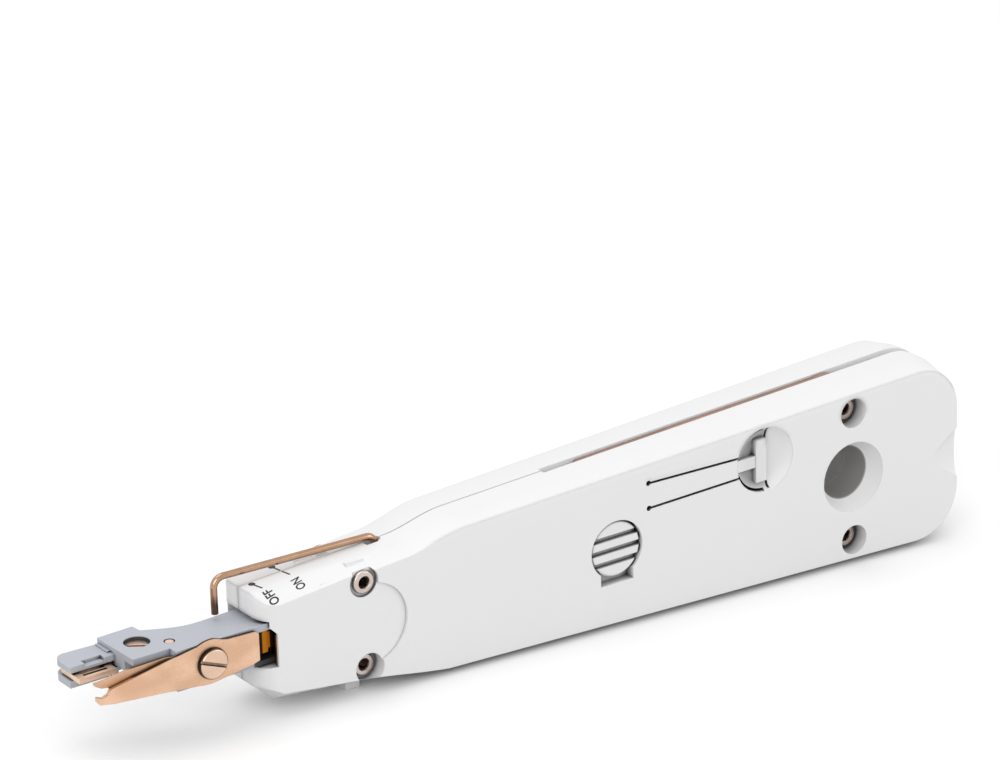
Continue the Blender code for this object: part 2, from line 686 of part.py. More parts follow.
latch_cuts = []
for sign, label in ((1, "upper"), (-1, "lower")):
    latch_cuts.append(place("slit_" + label, flat_mesh("slit", slit_outline(sign), -CUT_SIDE, -LATCH_WALL + 0.4)))
    latch_cuts.append(place("relief_" + label, rod_mesh(
        "relief", 0.5, -CUT_SIDE, -LATCH_WALL + 0.5, "Y", (TONGUE_X, TONGUE_Z + sign * TONGUE_HALF_ROOT), sides=12)))
    gap_end = 180.0 - sign * 17.0
    gap_start = 90.0 if sign > 0 else 270.0
    gap = arc((THUMB_X, THUMB_Z), THUMB_R - 0.12, gap_start, gap_end, 8)
    gap += arc((THUMB_X, THUMB_Z), THUMB_R - 0.62, gap_end, gap_start, 8)
    latch_cuts.append(place("arc_gap_" + label, flat_mesh("arc_gap", gap, -CUT_SIDE, -LATCH_WALL + 0.45)))
end_gap = place("end_gap", box_mesh("end_gap", (THUMB_X + 0.7, THUMB_X + 1.2), (-CUT_SIDE, -LATCH_WALL + 0.55),
                                    (THUMB_Z - THUMB_R + 0.35, THUMB_Z + THUMB_R - 0.35)))
latch_cuts.append(end_gap)
thumb_face = half_thickness(THUMB_X)
thumb_dish = turned("thumb_dish", [
    (0.0, thumb_face + 4.0), (THUMB_R + 0.2, thumb_face + 4.0), (THUMB_R, thumb_face - 0.05),
    (THUMB_R - 0.8, thumb_face - 0.9), (THUMB_R - 2.0, thumb_face - 1.35), (0.0, thumb_face - THUMB_DEPTH)],
    at=(THUMB_X, 0.0, THUMB_Z), turn=(math.radians(90.0), 0.0, 0.0), sides=36)
tee_bar = place("tee_bar", box_mesh("tee_bar", (THUMB_X - 1.8, THUMB_X + 0.5),
                                    (0.2 - thumb_face, THUMB_DEPTH + 0.4 - thumb_face),
                                    (THUMB_Z - 4.0, THUMB_Z + 4.0)))
tee_stem = place("tee_stem", box_mesh("tee_stem", (THUMB_X - 6.6, THUMB_X - 1.0),
                                      (0.35 - thumb_face, THUMB_DEPTH + 0.3 - thumb_face),
                                      (THUMB_Z - 1.1, THUMB_Z + 1.1)))
latch_room = place("latch_room", box_mesh("latch_room", (TONGUE_X - 0.3, THUMB_X), (-LATCH_WALL, -2.2),
                                          (TONGUE_Z - 3.5, TONGUE_Z + 3.4)))
latch_round = place("latch_round", rod_mesh("latch_round", THUMB_R + 0.2, -LATCH_WALL - 0.01, -2.3, "Y",
                                            (THUMB_X, THUMB_Z), sides=32))
latch_core = place("latch_core", box_mesh("latch_core", (TONGUE_X - 0.2, THUMB_X + 4.0), (-2.9, 1.0),
                                          (TONGUE_Z - 3.4, SLOT_FLOOR - 1.0)))

cut(housing_front, window, button_bore, button_cavity, button_notch, thumb_dish)
join(housing_front, tee_bar, tee_stem)
cut(housing_front, latch_room, latch_round, latch_core, *latch_cuts)
cut(housing_back, button_seat)

# Rivets: a tube with a flange at both ends.


def rivet_profile(flange_radius, flange_top):
    """Closed section of the tube's wall, top to bottom on the outside and back up through the bore."""
    under = flange_top - FLANGE_THICK
    lip = 0.25
    return [
        (RIVET_BORE + 0.35, flange_top), (flange_radius - lip, flange_top), (flange_radius, flange_top - lip),
        (flange_radius, under), (RIVET_SHANK, under),
        (RIVET_SHANK, -under), (flange_radius, -under), (flange_radius, lip - flange_top),
        (flange_radius - lip, -flange_top), (RIVET_BORE + 0.35, -flange_top),
        (RIVET_BORE, 0.5 - flange_top), (RIVET_BORE, flange_top - 0.5)]


for rivet, spot in rivet_spots.items():
    front = rivet.startswith("rivet_front")
    flange_top = low_flange_top if rivet == "rivet_front_lower" else front_flange_top
    profile = rivet_profile(FRONT_FLANGE if front else REAR_FLANGE, flange_top if front else rear_flange_top)
    turned(rivet, profile, rivet_nickel, at=(spot[0], 0.0, spot[1]), turn=(math.radians(90.0), 0.0, 0.0),
           sides=20, ring=True)

# Hook and release blade


def crown_line(x):
    return half_height(x) + CROWN - PLATE_SINK


def eye(start, end, steps=12):
    return arc((0.0, 0.0), PLATE_EYE, start, end, steps)


shank_edge = SLOT_FLOOR + SEAT - REAR_RIVET_Z
tip_offset = PLATE_TIP_X - REAR_RIVET_X


def spine(x):
    """Height of a folded plate's spine over its pivot, at x from the pivot."""
    return crown_line(REAR_RIVET_X + x) - REAR_RIVET_Z


hook_outline = [
    (tip_offset + 0.3, spine(tip_offset) - 0.1), (tip_offset, spine(tip_offset) - 0.6),
    (tip_offset + 0.25, shank_edge + 0.5), (tip_offset + 1.1, shank_edge),
    (tip_offset + 2.3, shank_edge + 0.3), (tip_offset + 2.5, shank_edge + 1.3),
    (tip_offset + 3.2, shank_edge + 2.3), (tip_offset + 4.3, shank_edge + 2.6),
    (tip_offset + 5.3, shank_edge + 2.2), (tip_offset + 5.9, shank_edge + 1.2),
    (tip_offset + 6.6, shank_edge + 0.4), (tip_offset + 7.6, shank_edge)]
hook_outline += eye(180.0 + math.degrees(math.asin(-shank_edge / PLATE_EYE)), 450.0 - 4.0, 20)
hook_outline += [(-2.0, spine(-2.0)), (-30.0, spine(-30.0))]
blade_outline = [(tip_offset, -spine(tip_offset) + 1.0), (tip_offset + 0.5, -spine(tip_offset) + 0.1),
                 (-30.0, -spine(-30.0)), (-2.0, -spine(-2.0))]
blade_outline += eye(-86.0, 180.0 - math.degrees(math.asin(-shank_edge / PLATE_EYE)), 20)
blade_outline += [(tip_offset + 14.0, -shank_edge), (tip_offset + 9.0, -shank_edge - 0.5)]

eye_hole = arc((0.0, 0.0), RIVET_HOLE + 0.1, 0.0, 342.0, 19)
fold_hook = place("fold_hook", flat_mesh("fold_hook", hook_outline, -PLATE_HALF, PLATE_HALF, holes=[eye_hole]),
                  tool_steel, at=(REAR_RIVET_X, 0.0, REAR_RIVET_Z))
release_blade = place("release_blade", flat_mesh("release_blade", blade_outline, -PLATE_HALF, PLATE_HALF,
                                                 holes=[eye_hole]),
                      tool_steel, at=(REAR_RIVET_X, 0.0, -REAR_RIVET_Z))

# Bail


def bent_wire(points, radius, steps):
    """Rounds the inner corners of a line of 3-D points."""
    found = [Vector(points[0])]
    for before, corner, after in zip(points, points[1:], points[2:]):
        corner = Vector(corner)
        back = (Vector(before) - corner).normalized()
        ahead = (Vector(after) - corner).normalized()
        half = back.angle(ahead) / 2.0
        reach = radius / math.tan(half)
        centre = corner + (back + ahead).normalized() * radius / math.sin(half)
        first = (corner + back * reach - centre).normalized()
        last = (corner + ahead * reach - centre).normalized()
        for i in range(steps + 1):
            found.append(centre + first.slerp(last, i / steps) * radius)
    found.append(Vector(points[-1]))
    return found


def wire(name, points, radius, finish, at=(0.0, 0.0, 0.0), parent=None, resolution=2):
    curve = bpy.data.curves.new(name, "CURVE")
    curve.dimensions = "3D"
    curve.bevel_depth = radius * MM
    curve.bevel_resolution = resolution
    curve.use_fill_caps = True
    spline = curve.splines.new("POLY")
    spline.points.add(len(points) - 1)
    for point, spot in zip(spline.points, points):
        point.co = (*(Vector(spot) * MM), 1.0)
    return place(name, curve, finish, at, parent)


bail_points = bent_wire([
    (0.0, 0.0, BAIL_DIP), (0.0, 0.0, BAIL_TOP),
    (BAIL_FRONT_X - BAIL_X, BAIL_FRONT_Y - BAIL_Y, BAIL_FRONT_TOP),
    (BAIL_FRONT_X - BAIL_X, BAIL_FRONT_Y - BAIL_Y, BAIL_LEG_END)], BAIL_BEND, 6)
sensor_bail = wire("sensor_bail", bail_points, WIRE_R, wire_gold, at=(BAIL_X, BAIL_Y, 0.0))

# Sliding head

head_slide = empty("head_slide", parent=tool_frame)

plate_low = HEAD_TOP - PLATE_THICK
far_edge = flowing([(-70.0, SHANK_FAR + 0.3), (-74.0, 2.2), (-79.6, 2.0), (-83.4, 3.0), (-87.7, 5.2)], 3)
plate_plan = [(-94.5, -3.9), (-87.4, -3.9), (-87.4, -HEAD_NEAR), (-60.0, -HEAD_NEAR), (-60.0, -5.0),
              (-57.0, -4.6), (-57.0, SHANK_FAR + 0.3)]
plate_plan += far_edge
plate_plan += [(-87.9, 7.3), (-94.8, 7.1)]
insertion_head = place("insertion_head", flat_mesh("insertion_head", plate_plan, plate_low, HEAD_TOP, "XY"),
                       head_grey, parent=head_slide)
web_plan = [(-88.4, -1.0), (-86.9, -1.0), (-86.9, -BLOCK_NEAR), (-74.4, -BLOCK_NEAR), (-74.0, -SHANK_NEAR),
            (SHANK_END_X, -SHANK_NEAR), (SHANK_END_X, SHANK_FAR), (-74.0, SHANK_FAR - 0.1), (-80.0, 1.8),
            (-84.0, 2.6), (-88.4, 4.2)]
web = place("head_web", flat_mesh("head_web", web_plan, HEAD_LOW + 0.05, plate_low + 0.6, "XY"),
            parent=head_slide)
flange_plan = [(-86.7, -BLOCK_NEAR + 0.05), (-60.4, -BLOCK_NEAR + 0.05),
               (-60.4, SHANK_FAR - 0.2), (-86.7, SHANK_FAR - 0.2)]
flange = place("head_flange", flat_mesh("head_flange", flange_plan, HEAD_LOW, FLANGE_TOP, "XY"),
               parent=head_slide)
front_plan = [(-94.6, -1.2), (-87.3, -1.2), (-87.3, 5.0), (-88.0, 7.1), (-94.65, 6.9)]
front_block = place("head_front", flat_mesh("head_front", front_plan, 2.2, plate_low + 0.5, "XY"),
                    parent=head_slide)
root = place("jaw_root", box_mesh(
    "jaw_root", (-95.4, -92.0), (3.0, 6.8), (JAW_LOWER[0] + 0.05, plate_low + 0.4)), parent=head_slide)


def jaw_plan(inset):
    rounded = arc((JAW_TIP_X + 2.0, 7.4 - 2.0), 2.0, 90.0, 180.0, 6)
    return [(-94.0, 1.8 + inset), (-94.0, 7.0)] + rounded + [(JAW_TIP_X, 1.8 + inset)]


SCREW_SINK = 0.75
upper_jaw = place("upper_jaw", flat_mesh("upper_jaw", jaw_plan(0.0), *JAW_UPPER, "XY"), parent=head_slide)
lower_jaw = place("lower_jaw", flat_mesh("lower_jaw", jaw_plan(0.1), *JAW_LOWER, "XY"), parent=head_slide)
jaw_pocket = place("jaw_pocket", box_mesh("jaw_pocket", (-100.4, -96.6), (0.0, 3.1), (3.6, 9.0)),
                   parent=head_slide)
screw_sink = turned("screw_sink", [
    (0.0, HEAD_TOP + 1.0), (2.3, HEAD_TOP + 1.0), (2.3, HEAD_TOP - SCREW_SINK), (1.25, HEAD_TOP - SCREW_SINK - 1.0),
    (1.25, 1.0), (0.0, 1.0)], at=(HEAD_SCREW_X, HEAD_SCREW_Y, 0.0), parent=head_slide, sides=28)
pin_hole = place("pin_hole", rod_mesh("pin_hole", 1.0, HEAD_TOP - 2.2, HEAD_TOP + 1.0, "Z",
                                      (HEAD_PIN_X, HEAD_PIN_Y), sides=20), parent=head_slide)
pivot_hole = place("pivot_hole", rod_mesh("pivot_hole", PIVOT_SHANK + SEAT, -12.0, -2.4, "Y",
                                          (PIVOT_X, PIVOT_Z), sides=24), parent=head_slide)
join(insertion_head, web, flange, front_block, root, upper_jaw, lower_jaw)
cut(insertion_head, jaw_pocket, screw_sink, pin_hole, pivot_hole)

# Comb of the insertion jaws, with two short prongs under its rear edge.
comb_low = JAW_LOWER[1] + SEAT
comb_high = JAW_UPPER[0] - SEAT
comb_plan = [(-102.8, -0.5), (-95.7, -0.5), (-95.7, 6.9), (-101.2, 6.9), (-102.8, 5.4)]
comb_slots = []
for low_y, high_y in ((0.25, 0.85), (1.15, 2.45), (3.0, 4.0), (4.55, 5.55)):
    comb_slots.append([(-101.5, low_y), (-101.5, high_y), (-96.9, high_y), (-96.9, low_y)])
wire_insert = place("wire_insert", flat_mesh("wire_insert", comb_plan, comb_low, comb_high, "XY", holes=comb_slots),
                    blade_copper, parent=head_slide)
for index, y in enumerate((1.15, 0.1)):
    prong = place("contact_prong_%d" % (index + 1), rod_mesh("contact_prong", 0.3, comb_low - 1.1, comb_low + 0.3,
                                                             "Z", (-96.1, y), sides=12), parent=head_slide)
    join(wire_insert, prong)

# Screw and pin in the top plate.
head_screw = turned("head_screw", [
    (0.0, HEAD_TOP - SCREW_SINK), (2.0, HEAD_TOP - SCREW_SINK), (1.0, HEAD_TOP - SCREW_SINK - 1.0), (1.0, 2.0),
    (0.0, 2.0)], screw_copper,
    at=(HEAD_SCREW_X, HEAD_SCREW_Y, 0.0), parent=head_slide, sides=28)
head_screw_slot = place("head_screw_slot", box_mesh("head_screw_slot", (-3.0, 3.0), (-0.3, 0.3), (-0.5, 1.0)),
                        at=(HEAD_SCREW_X, HEAD_SCREW_Y, HEAD_TOP - SCREW_SINK), parent=head_slide,
                        turn=(0.0, 0.0, math.radians(-35.0)))
cut(head_screw, head_screw_slot)
head_pin = place("head_pin", rod_mesh("head_pin", 0.75, HEAD_TOP - 1.95, HEAD_TOP - 0.1, "Z",
                                      (HEAD_PIN_X, HEAD_PIN_Y), sides=20), screw_copper, parent=head_slide)

# Scissors. The blades' outlines are seen from -Y.
fixed_profile = [
    (-102.9, 3.95), (-102.1, 3.95), (-99.3, 4.15), (-96.0, 4.65), (-89.5, 4.75), (-87.75, 4.5),
    (-87.55, plate_low - SEAT), (-77.5, plate_low - SEAT), (-77.5, -1.4), (-84.0, -1.5), (-88.0, -0.9),
    (-94.0, 0.6), (-99.9, 2.0), (-100.6, 2.7), (-101.7, 2.85), (-102.8, 3.45)]
fixed_profile.reverse()
fixed_hole = arc((PIVOT_X, PIVOT_Z), PIVOT_SHANK + SEAT, 0.0, 345.0, 23)
scissor_blade_fixed = place("scissor_blade_fixed", flat_mesh(
    "scissor_blade_fixed", fixed_profile, -FIXED_OUTER, -FIXED_INNER, holes=[fixed_hole]),
    blade_copper, parent=head_slide)

moving_top = [(-71.9, 4.35), (-72.5, 4.8), (-77.8, 5.0)]
moving_top += flowing([(-77.8, 5.0), (-79.0, 5.3), (-80.5, 5.8), (-82.2, 5.7), (-83.7, 5.2)], 2)[1:]
moving_tip = [(-90.1, 4.3), (-96.8, 3.2), (-100.4, 2.55), (-101.0, 1.75), (-102.0, 1.4), (-103.1, 1.85),
              (-103.1, 1.05), (-102.6, 0.4)]
moving_low = [(-100.0, -0.1), (-90.4, -1.0), (-84.1, -1.7)]
moving_low += flowing([(-84.1, -1.7), (-81.6, -2.0), (-79.2, -1.7), (-73.3, -0.9)], 2)[1:]
moving_profile = moving_top + moving_tip + moving_low + [(-71.9, -0.5)]
moving_profile = [(x - PIVOT_X, z - PIVOT_Z) for x, z in moving_profile]
TAIL_LOW = 0.5 - PIVOT_Z
TAIL_HIGH = 3.5 - PIVOT_Z
TAIL_X = (-73.0 - PIVOT_X, -71.9 - PIVOT_X, -62.0 - PIVOT_X)
tail_plan = [(TAIL_X[0] - 1.5, -MOVING_OUTER + 0.02), (TAIL_X[0], -MOVING_OUTER + 0.02), (TAIL_X[1], -TAIL_OUTER),
             (TAIL_X[2], -TAIL_OUTER), (TAIL_X[2], -TAIL_INNER), (TAIL_X[1] - 0.1, -TAIL_INNER),
             (TAIL_X[0] - 0.1, -MOVING_INNER - 0.02), (TAIL_X[0] - 1.5, -MOVING_INNER - 0.02)]
arm_end = TAIL_X[0]
arm_profile = [(min(x, arm_end), z) for x, z in moving_profile if x < arm_end + 1.0]
moving_hole = arc((0.0, 0.0), PIVOT_SHANK + SEAT, 0.0, 345.0, 23)
scissor_blade_moving = place("scissor_blade_moving", flat_mesh(
    "scissor_blade_moving", moving_profile, -MOVING_OUTER, -MOVING_INNER, holes=[moving_hole]),
    blade_copper, at=(PIVOT_X, 0.0, PIVOT_Z), parent=head_slide)
tail = place("blade_tail", flat_mesh("blade_tail", tail_plan, TAIL_LOW, TAIL_HIGH, "XY"),
             at=(PIVOT_X, 0.0, PIVOT_Z), parent=head_slide)
PIN_X = -63.2 - PIVOT_X
PIN_Z = 2.0 - PIVOT_Z
tail_pin = place("tail_pin", rod_mesh("tail_pin", 0.8, -TAIL_OUTER + 0.2, -2.7, "Y", (PIN_X, PIN_Z), sides=16),
                 at=(PIVOT_X, 0.0, PIVOT_Z), parent=head_slide)
tail_root = place("tail_root", flat_mesh("tail_root", [
    (TAIL_X[1] - 0.05, -TAIL_OUTER - 0.02), (TAIL_X[1] + 2.5, -TAIL_OUTER - 0.02),
    (TAIL_X[1] + 2.5, -TAIL_INNER + 0.02), (TAIL_X[1] - 0.05, -TAIL_INNER + 0.02)],
    -0.2 - PIVOT_Z, plate_low - SEAT - PIVOT_Z, "XY"), at=(PIVOT_X, 0.0, PIVOT_Z), parent=head_slide)
join(scissor_blade_moving, tail, tail_root, tail_pin)

pivot_seat = MOVING_OUTER + SHEAR
scissor_pivot_screw = turned("scissor_pivot_screw", [
    (0.0, pivot_seat + 0.75), (PIVOT_HEAD - 0.3, pivot_seat + 0.75), (PIVOT_HEAD, pivot_seat + 0.5),
    (PIVOT_HEAD, pivot_seat), (PIVOT_SHANK, pivot_seat), (PIVOT_SHANK, 2.7), (0.0, 2.7)], screw_copper,
    at=(PIVOT_X, 0.0, PIVOT_Z), turn=(math.radians(90.0), 0.0, 0.0), parent=head_slide, sides=28)
pivot_slot = place("pivot_slot", box_mesh("pivot_slot", (-3.2, 3.2), (-pivot_seat - 1.5, -pivot_seat - 0.35),
                                          (-0.32, 0.32)),
                   at=(PIVOT_X, 0.0, PIVOT_Z), turn=(0.0, math.radians(22.0), 0.0), parent=head_slide)
cut(scissor_pivot_screw, pivot_slot)

# Carriage that carries the head, with its spring rod.
slide_carriage = place("slide_carriage", box_mesh(
    "slide_carriage", (CARRIAGE_FRONT_X, CARRIAGE_REAR_X), (-CARRIAGE_HALF, CARRIAGE_HALF),
    (CARRIAGE_LOW, CARRIAGE_TOP)), carriage_dark, parent=head_slide)
soften(slide_carriage, 0.5)
rod = place("carriage_rod", rod_mesh("carriage_rod", ROD_R, CARRIAGE_REAR_X - 2.0, ROD_END_X, "X",
                                     (0.0, SPRING_Z), sides=16), parent=head_slide)
socket = place("carriage_socket", box_mesh(
    "carriage_socket", (CARRIAGE_FRONT_X - 2.0, SHANK_END_X + 0.3), (-SHANK_NEAR - SEAT, SHANK_FAR + SEAT),
    (CARRIAGE_LOW - 1.0, CARRIAGE_TOP - 0.6)), parent=head_slide)
join(slide_carriage, rod)
cut(slide_carriage, socket)

# Guide of the moving blade, fixed in the nose: two prongs on a rear web, the inner one with a
# slanted slot that turns the blade as the head slides in.
CAM_FRONT_X = -68.3
CAM_REAR_X = -56.35
CAM_WEB_X = -58.35
cam_plan = [(CAM_FRONT_X, -CHANNEL_NEAR + 0.15), (CAM_REAR_X, -CHANNEL_NEAR + 0.15), (CAM_REAR_X, -2.3), (CAM_FRONT_X, -2.3), (CAM_FRONT_X, -4.1),
            (CAM_WEB_X, -4.1), (CAM_WEB_X, -5.4), (CAM_FRONT_X, -5.4)]
scissor_cam = place("scissor_cam", flat_mesh("scissor_cam", cam_plan, -2.5, 2.65, "XY"), bronze)
SCISSOR_TURN = math.radians(6.5)
pin_start = Vector((PIVOT_X + PIN_X, PIVOT_Z + PIN_Z))
pin_end = Vector((PIVOT_X + STROKE + PIN_X * math.cos(SCISSOR_TURN) + PIN_Z * math.sin(SCISSOR_TURN),
                  PIVOT_Z - PIN_X * math.sin(SCISSOR_TURN) + PIN_Z * math.cos(SCISSOR_TURN)))
slot_angle = math.degrees(math.atan2(pin_end.y - pin_start.y, pin_end.x - pin_start.x))
slot_r = 0.8 + SEAT
cam_slot = arc(pin_end, slot_r, slot_angle - 90.0, slot_angle + 90.0, 8)
cam_slot += arc(pin_start, slot_r, slot_angle + 90.0, slot_angle + 270.0, 8)
cam_slot_cut = place("cam_slot", flat_mesh("cam_slot", cam_slot, -5.0, -1.0))
inner_trim = place("inner_trim", box_mesh("inner_trim", (CAM_FRONT_X - 2.0, CAM_REAR_X + 2.0),
                                          (-BLOCK_NEAR - RUN, 0.0), (-6.0, FLANGE_TOP + RUN)))
cut(scissor_cam, inner_trim, cam_slot_cut)

# Springs


def coil_points(radius, start, end, turns, per_turn):
    """A compression spring along X, whose ends close up to flat turns."""
    found = []
    total = int(turns * per_turn)
    for i in range(total + 1):
        t = i / total
        angle = 2.0 * math.pi * turns * t
        found.append((start + (end - start) * t, radius * math.cos(angle), radius * math.sin(angle)))
    return found


half_wire = SPRING_WIRE / 2.0
main_points = coil_points(SPRING_R, CARRIAGE_REAR_X + SEAT + half_wire, SPRING_END_X - SEAT - half_wire,
                          SPRING_TURNS, 9)
main_spring = wire("main_spring", main_points, half_wire, spring_steel, at=(0.0, 0.0, SPRING_Z), resolution=1)

# Ribbed button

button_top = button_face - BUTTON_SINK
flange_top = BUTTON_CAVITY_Y - SEAT
flange_low = flange_top - BUTTON_FLANGE_THICK
ribbed_button = turned("ribbed_button", [
    (0.0, button_top), (BUTTON_R - 0.3, button_top), (BUTTON_R, button_top - 0.3), (BUTTON_R, flange_top),
    (BUTTON_FLANGE, flange_top), (BUTTON_FLANGE, flange_low), (BUTTON_HUB_R, flange_low),
    (BUTTON_HUB_R, flange_low - BUTTON_HUB), (0.0, flange_low - BUTTON_HUB)], button_white,
    turn=(math.radians(90.0), 0.0, 0.0), sides=36)
for index in (-1, 0, 1):
    groove = place("rib_groove_%d" % (index + 2), box_mesh(
        "rib_groove", (-8.0, 8.0), (-button_top - 2.0, -button_top + RIB_DEPTH),
        (index * RIB_PITCH - RIB_GROOVE / 2.0, index * RIB_PITCH + RIB_GROOVE / 2.0)))
    cut(ribbed_button, groove)

BUTTON_WIRE = 0.5
spring_low = SEAT + BUTTON_WIRE / 2.0 - flange_low
spring_high = BUTTON_SEAT_Y - SEAT - BUTTON_WIRE / 2.0
button_points = [(y, x, z) for x, y, z in coil_points(2.5, spring_low, spring_high, 4, 9)]
button_spring = wire("button_spring", button_points, BUTTON_WIRE / 2.0, spring_steel, resolution=1)

# Level the tool

for piece in parts.objects:
    if piece.type == "MESH":
        piece.data.shade_smooth()
        piece.data.set_sharp_from_angle(angle=math.radians(35.0))

tool_frame.rotation_euler = (0.0, -math.atan(TAPER), 0.0)
bpy.context.view_layer.update()
graph = bpy.context.evaluated_depsgraph_get()
low_corner = Vector((1.0, 1.0, 1.0))
high_corner = Vector((-1.0, -1.0, -1.0))
for piece in parts.objects:
    if piece.type == "EMPTY":
        continue
    shape = piece.evaluated_get(graph)
    mesh = shape.to_mesh()
    for vertex in mesh.vertices:
        spot = shape.matrix_world @ vertex.co
        low_corner = Vector(map(min, low_corner, spot))
        high_corner = Vector(map(max, high_corner, spot))
    shape.to_mesh_clear()
tool_frame.location = -Vector(((low_corner.x + high_corner.x) / 2.0, (low_corner.y + high_corner.y) / 2.0,
                               low_corner.z))
bpy.context.view_layer.update()
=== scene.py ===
# %% [markdown]
# # A punch down tool in a white studio
# The tool presses single wires into a connection strip and trims them with small scissors. The
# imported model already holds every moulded, stamped and turned piece at its true size. This lesson
# gives each of them softened edges and a finish, adds the printed marks, and lights the whole.

import json
import math

import bpy
from mathutils import Matrix, Vector

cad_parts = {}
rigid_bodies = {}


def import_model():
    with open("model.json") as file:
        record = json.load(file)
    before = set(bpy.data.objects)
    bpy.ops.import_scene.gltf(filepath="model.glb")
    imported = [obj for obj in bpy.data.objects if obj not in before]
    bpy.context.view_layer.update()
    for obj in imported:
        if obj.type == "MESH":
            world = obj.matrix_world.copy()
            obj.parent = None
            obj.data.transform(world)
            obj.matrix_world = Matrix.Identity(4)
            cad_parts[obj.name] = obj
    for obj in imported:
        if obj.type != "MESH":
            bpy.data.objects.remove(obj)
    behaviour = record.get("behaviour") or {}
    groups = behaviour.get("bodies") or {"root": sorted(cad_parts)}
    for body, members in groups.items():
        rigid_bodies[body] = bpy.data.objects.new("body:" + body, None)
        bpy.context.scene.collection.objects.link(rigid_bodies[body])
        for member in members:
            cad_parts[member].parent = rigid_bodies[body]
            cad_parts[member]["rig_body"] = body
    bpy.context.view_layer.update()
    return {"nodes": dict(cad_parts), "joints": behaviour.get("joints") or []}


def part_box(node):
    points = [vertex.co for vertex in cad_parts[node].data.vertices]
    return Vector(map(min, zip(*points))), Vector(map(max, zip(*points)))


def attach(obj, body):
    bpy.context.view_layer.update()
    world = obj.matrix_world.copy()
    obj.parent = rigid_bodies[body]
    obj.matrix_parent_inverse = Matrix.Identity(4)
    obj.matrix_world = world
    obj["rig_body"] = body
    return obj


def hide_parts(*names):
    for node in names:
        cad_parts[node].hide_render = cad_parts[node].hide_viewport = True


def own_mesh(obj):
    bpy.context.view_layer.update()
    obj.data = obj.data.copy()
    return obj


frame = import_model()

# %% [markdown]
# ## Where the tool lies
# The tool lies on its narrow side, which tapers, so its long axis rises a little to the rear. All
# that follows the tool, such as grinding lines or lettering, is easier to place along its own axes.
# They could be typed in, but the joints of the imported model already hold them: the head slides
# along the tool, and the scissors' pivot is a point with a known place on it.

# %% The tool's own axes
MM = 0.001
joints = {joint["name"]: joint for joint in frame["joints"]}
along = Vector(joints["head_slide"]["axis"]).normalized()
across = Vector((0.0, 1.0, 0.0))
upward = along.cross(across)
PIVOT_ON_TOOL = Vector((-81.1, 0.0, 1.7)) * MM
turn = Matrix((along, across, upward)).transposed()
start = Vector(joints["scissor_turn"]["pos_m"]) - turn @ PIVOT_ON_TOOL
tool = Matrix.Translation(start) @ turn.to_4x4()
tilt = math.atan2(along.z, along.x)
print("the tool's axis rises", round(math.degrees(tilt), 2), "degrees")


# %% [markdown]
# ## The camera
# A long lens from the front left, a little above, as a small object is photographed for a
# catalogue. It stands on a line through a point near the tool, at a known distance, and a
# direction is turned into a rotation with to_track_quat.

# %% The camera
AZIMUTH = math.radians(-34.785)
ELEVATION = math.radians(21.081)
DISTANCE = 892.5 * MM
FOCAL_LENGTH = 189.54
AIM_FROM_PIVOT = Vector((62.23, 0.0, 34.15)) * MM
back = Vector((math.sin(AZIMUTH) * math.cos(ELEVATION), -math.cos(AZIMUTH) * math.cos(ELEVATION),
               math.sin(ELEVATION)))
aim = Vector(joints["scissor_turn"]["pos_m"]) + AIM_FROM_PIVOT
bpy.ops.object.camera_add(location=aim + back * DISTANCE)
camera = bpy.context.object
camera.name = "camera"
camera.rotation_euler = back.to_track_quat("Z", "Y").to_euler()
camera.data.sensor_width = 36.0
camera.data.lens = FOCAL_LENGTH
camera.data.clip_start = 0.01
bpy.context.scene.camera = camera
print("the camera stands", round((camera.location - aim).length, 3), "m from the tool")

# %% [markdown]
# ## Arithmetic on a material
# A finish is a small sum: a base colour, plus a little noise, less some wear. In the shader editor
# each plus is a node. The class below wraps the output of a node, so that Python's own + and *
# add those nodes, and a finish reads like the sum it is.

# %% A socket that can be reckoned with
class Wire:
    """The output of a shader node."""

    def __init__(self, sheet, socket):
        self.sheet = sheet
        self.socket = socket

    def reckon(self, operation, a, b):
        return self.sheet.node("ShaderNodeMath", {"operation": operation}, {0: a, 1: b})

    def __add__(self, other):
        return self.reckon("ADD", self, other)

    def __radd__(self, other):
        return self.reckon("ADD", other, self)

    def __sub__(self, other):
        return self.reckon("SUBTRACT", self, other)

    def __rsub__(self, other):
        return self.reckon("SUBTRACT", other, self)

    def __mul__(self, other):
        return self.reckon("MULTIPLY", self, other)

    def __rmul__(self, other):
        return self.reckon("MULTIPLY", other, self)

    def __pow__(self, other):
        return self.reckon("POWER", self, other)


# %% [markdown]
# ## A sheet of nodes
# One method adds any node: its type, then its settings, then the values or wires of its sockets.
# A few short methods on top of it name what the finishes below use most: noise in the object's own
# coordinates, a mix of two colours, and a bump.

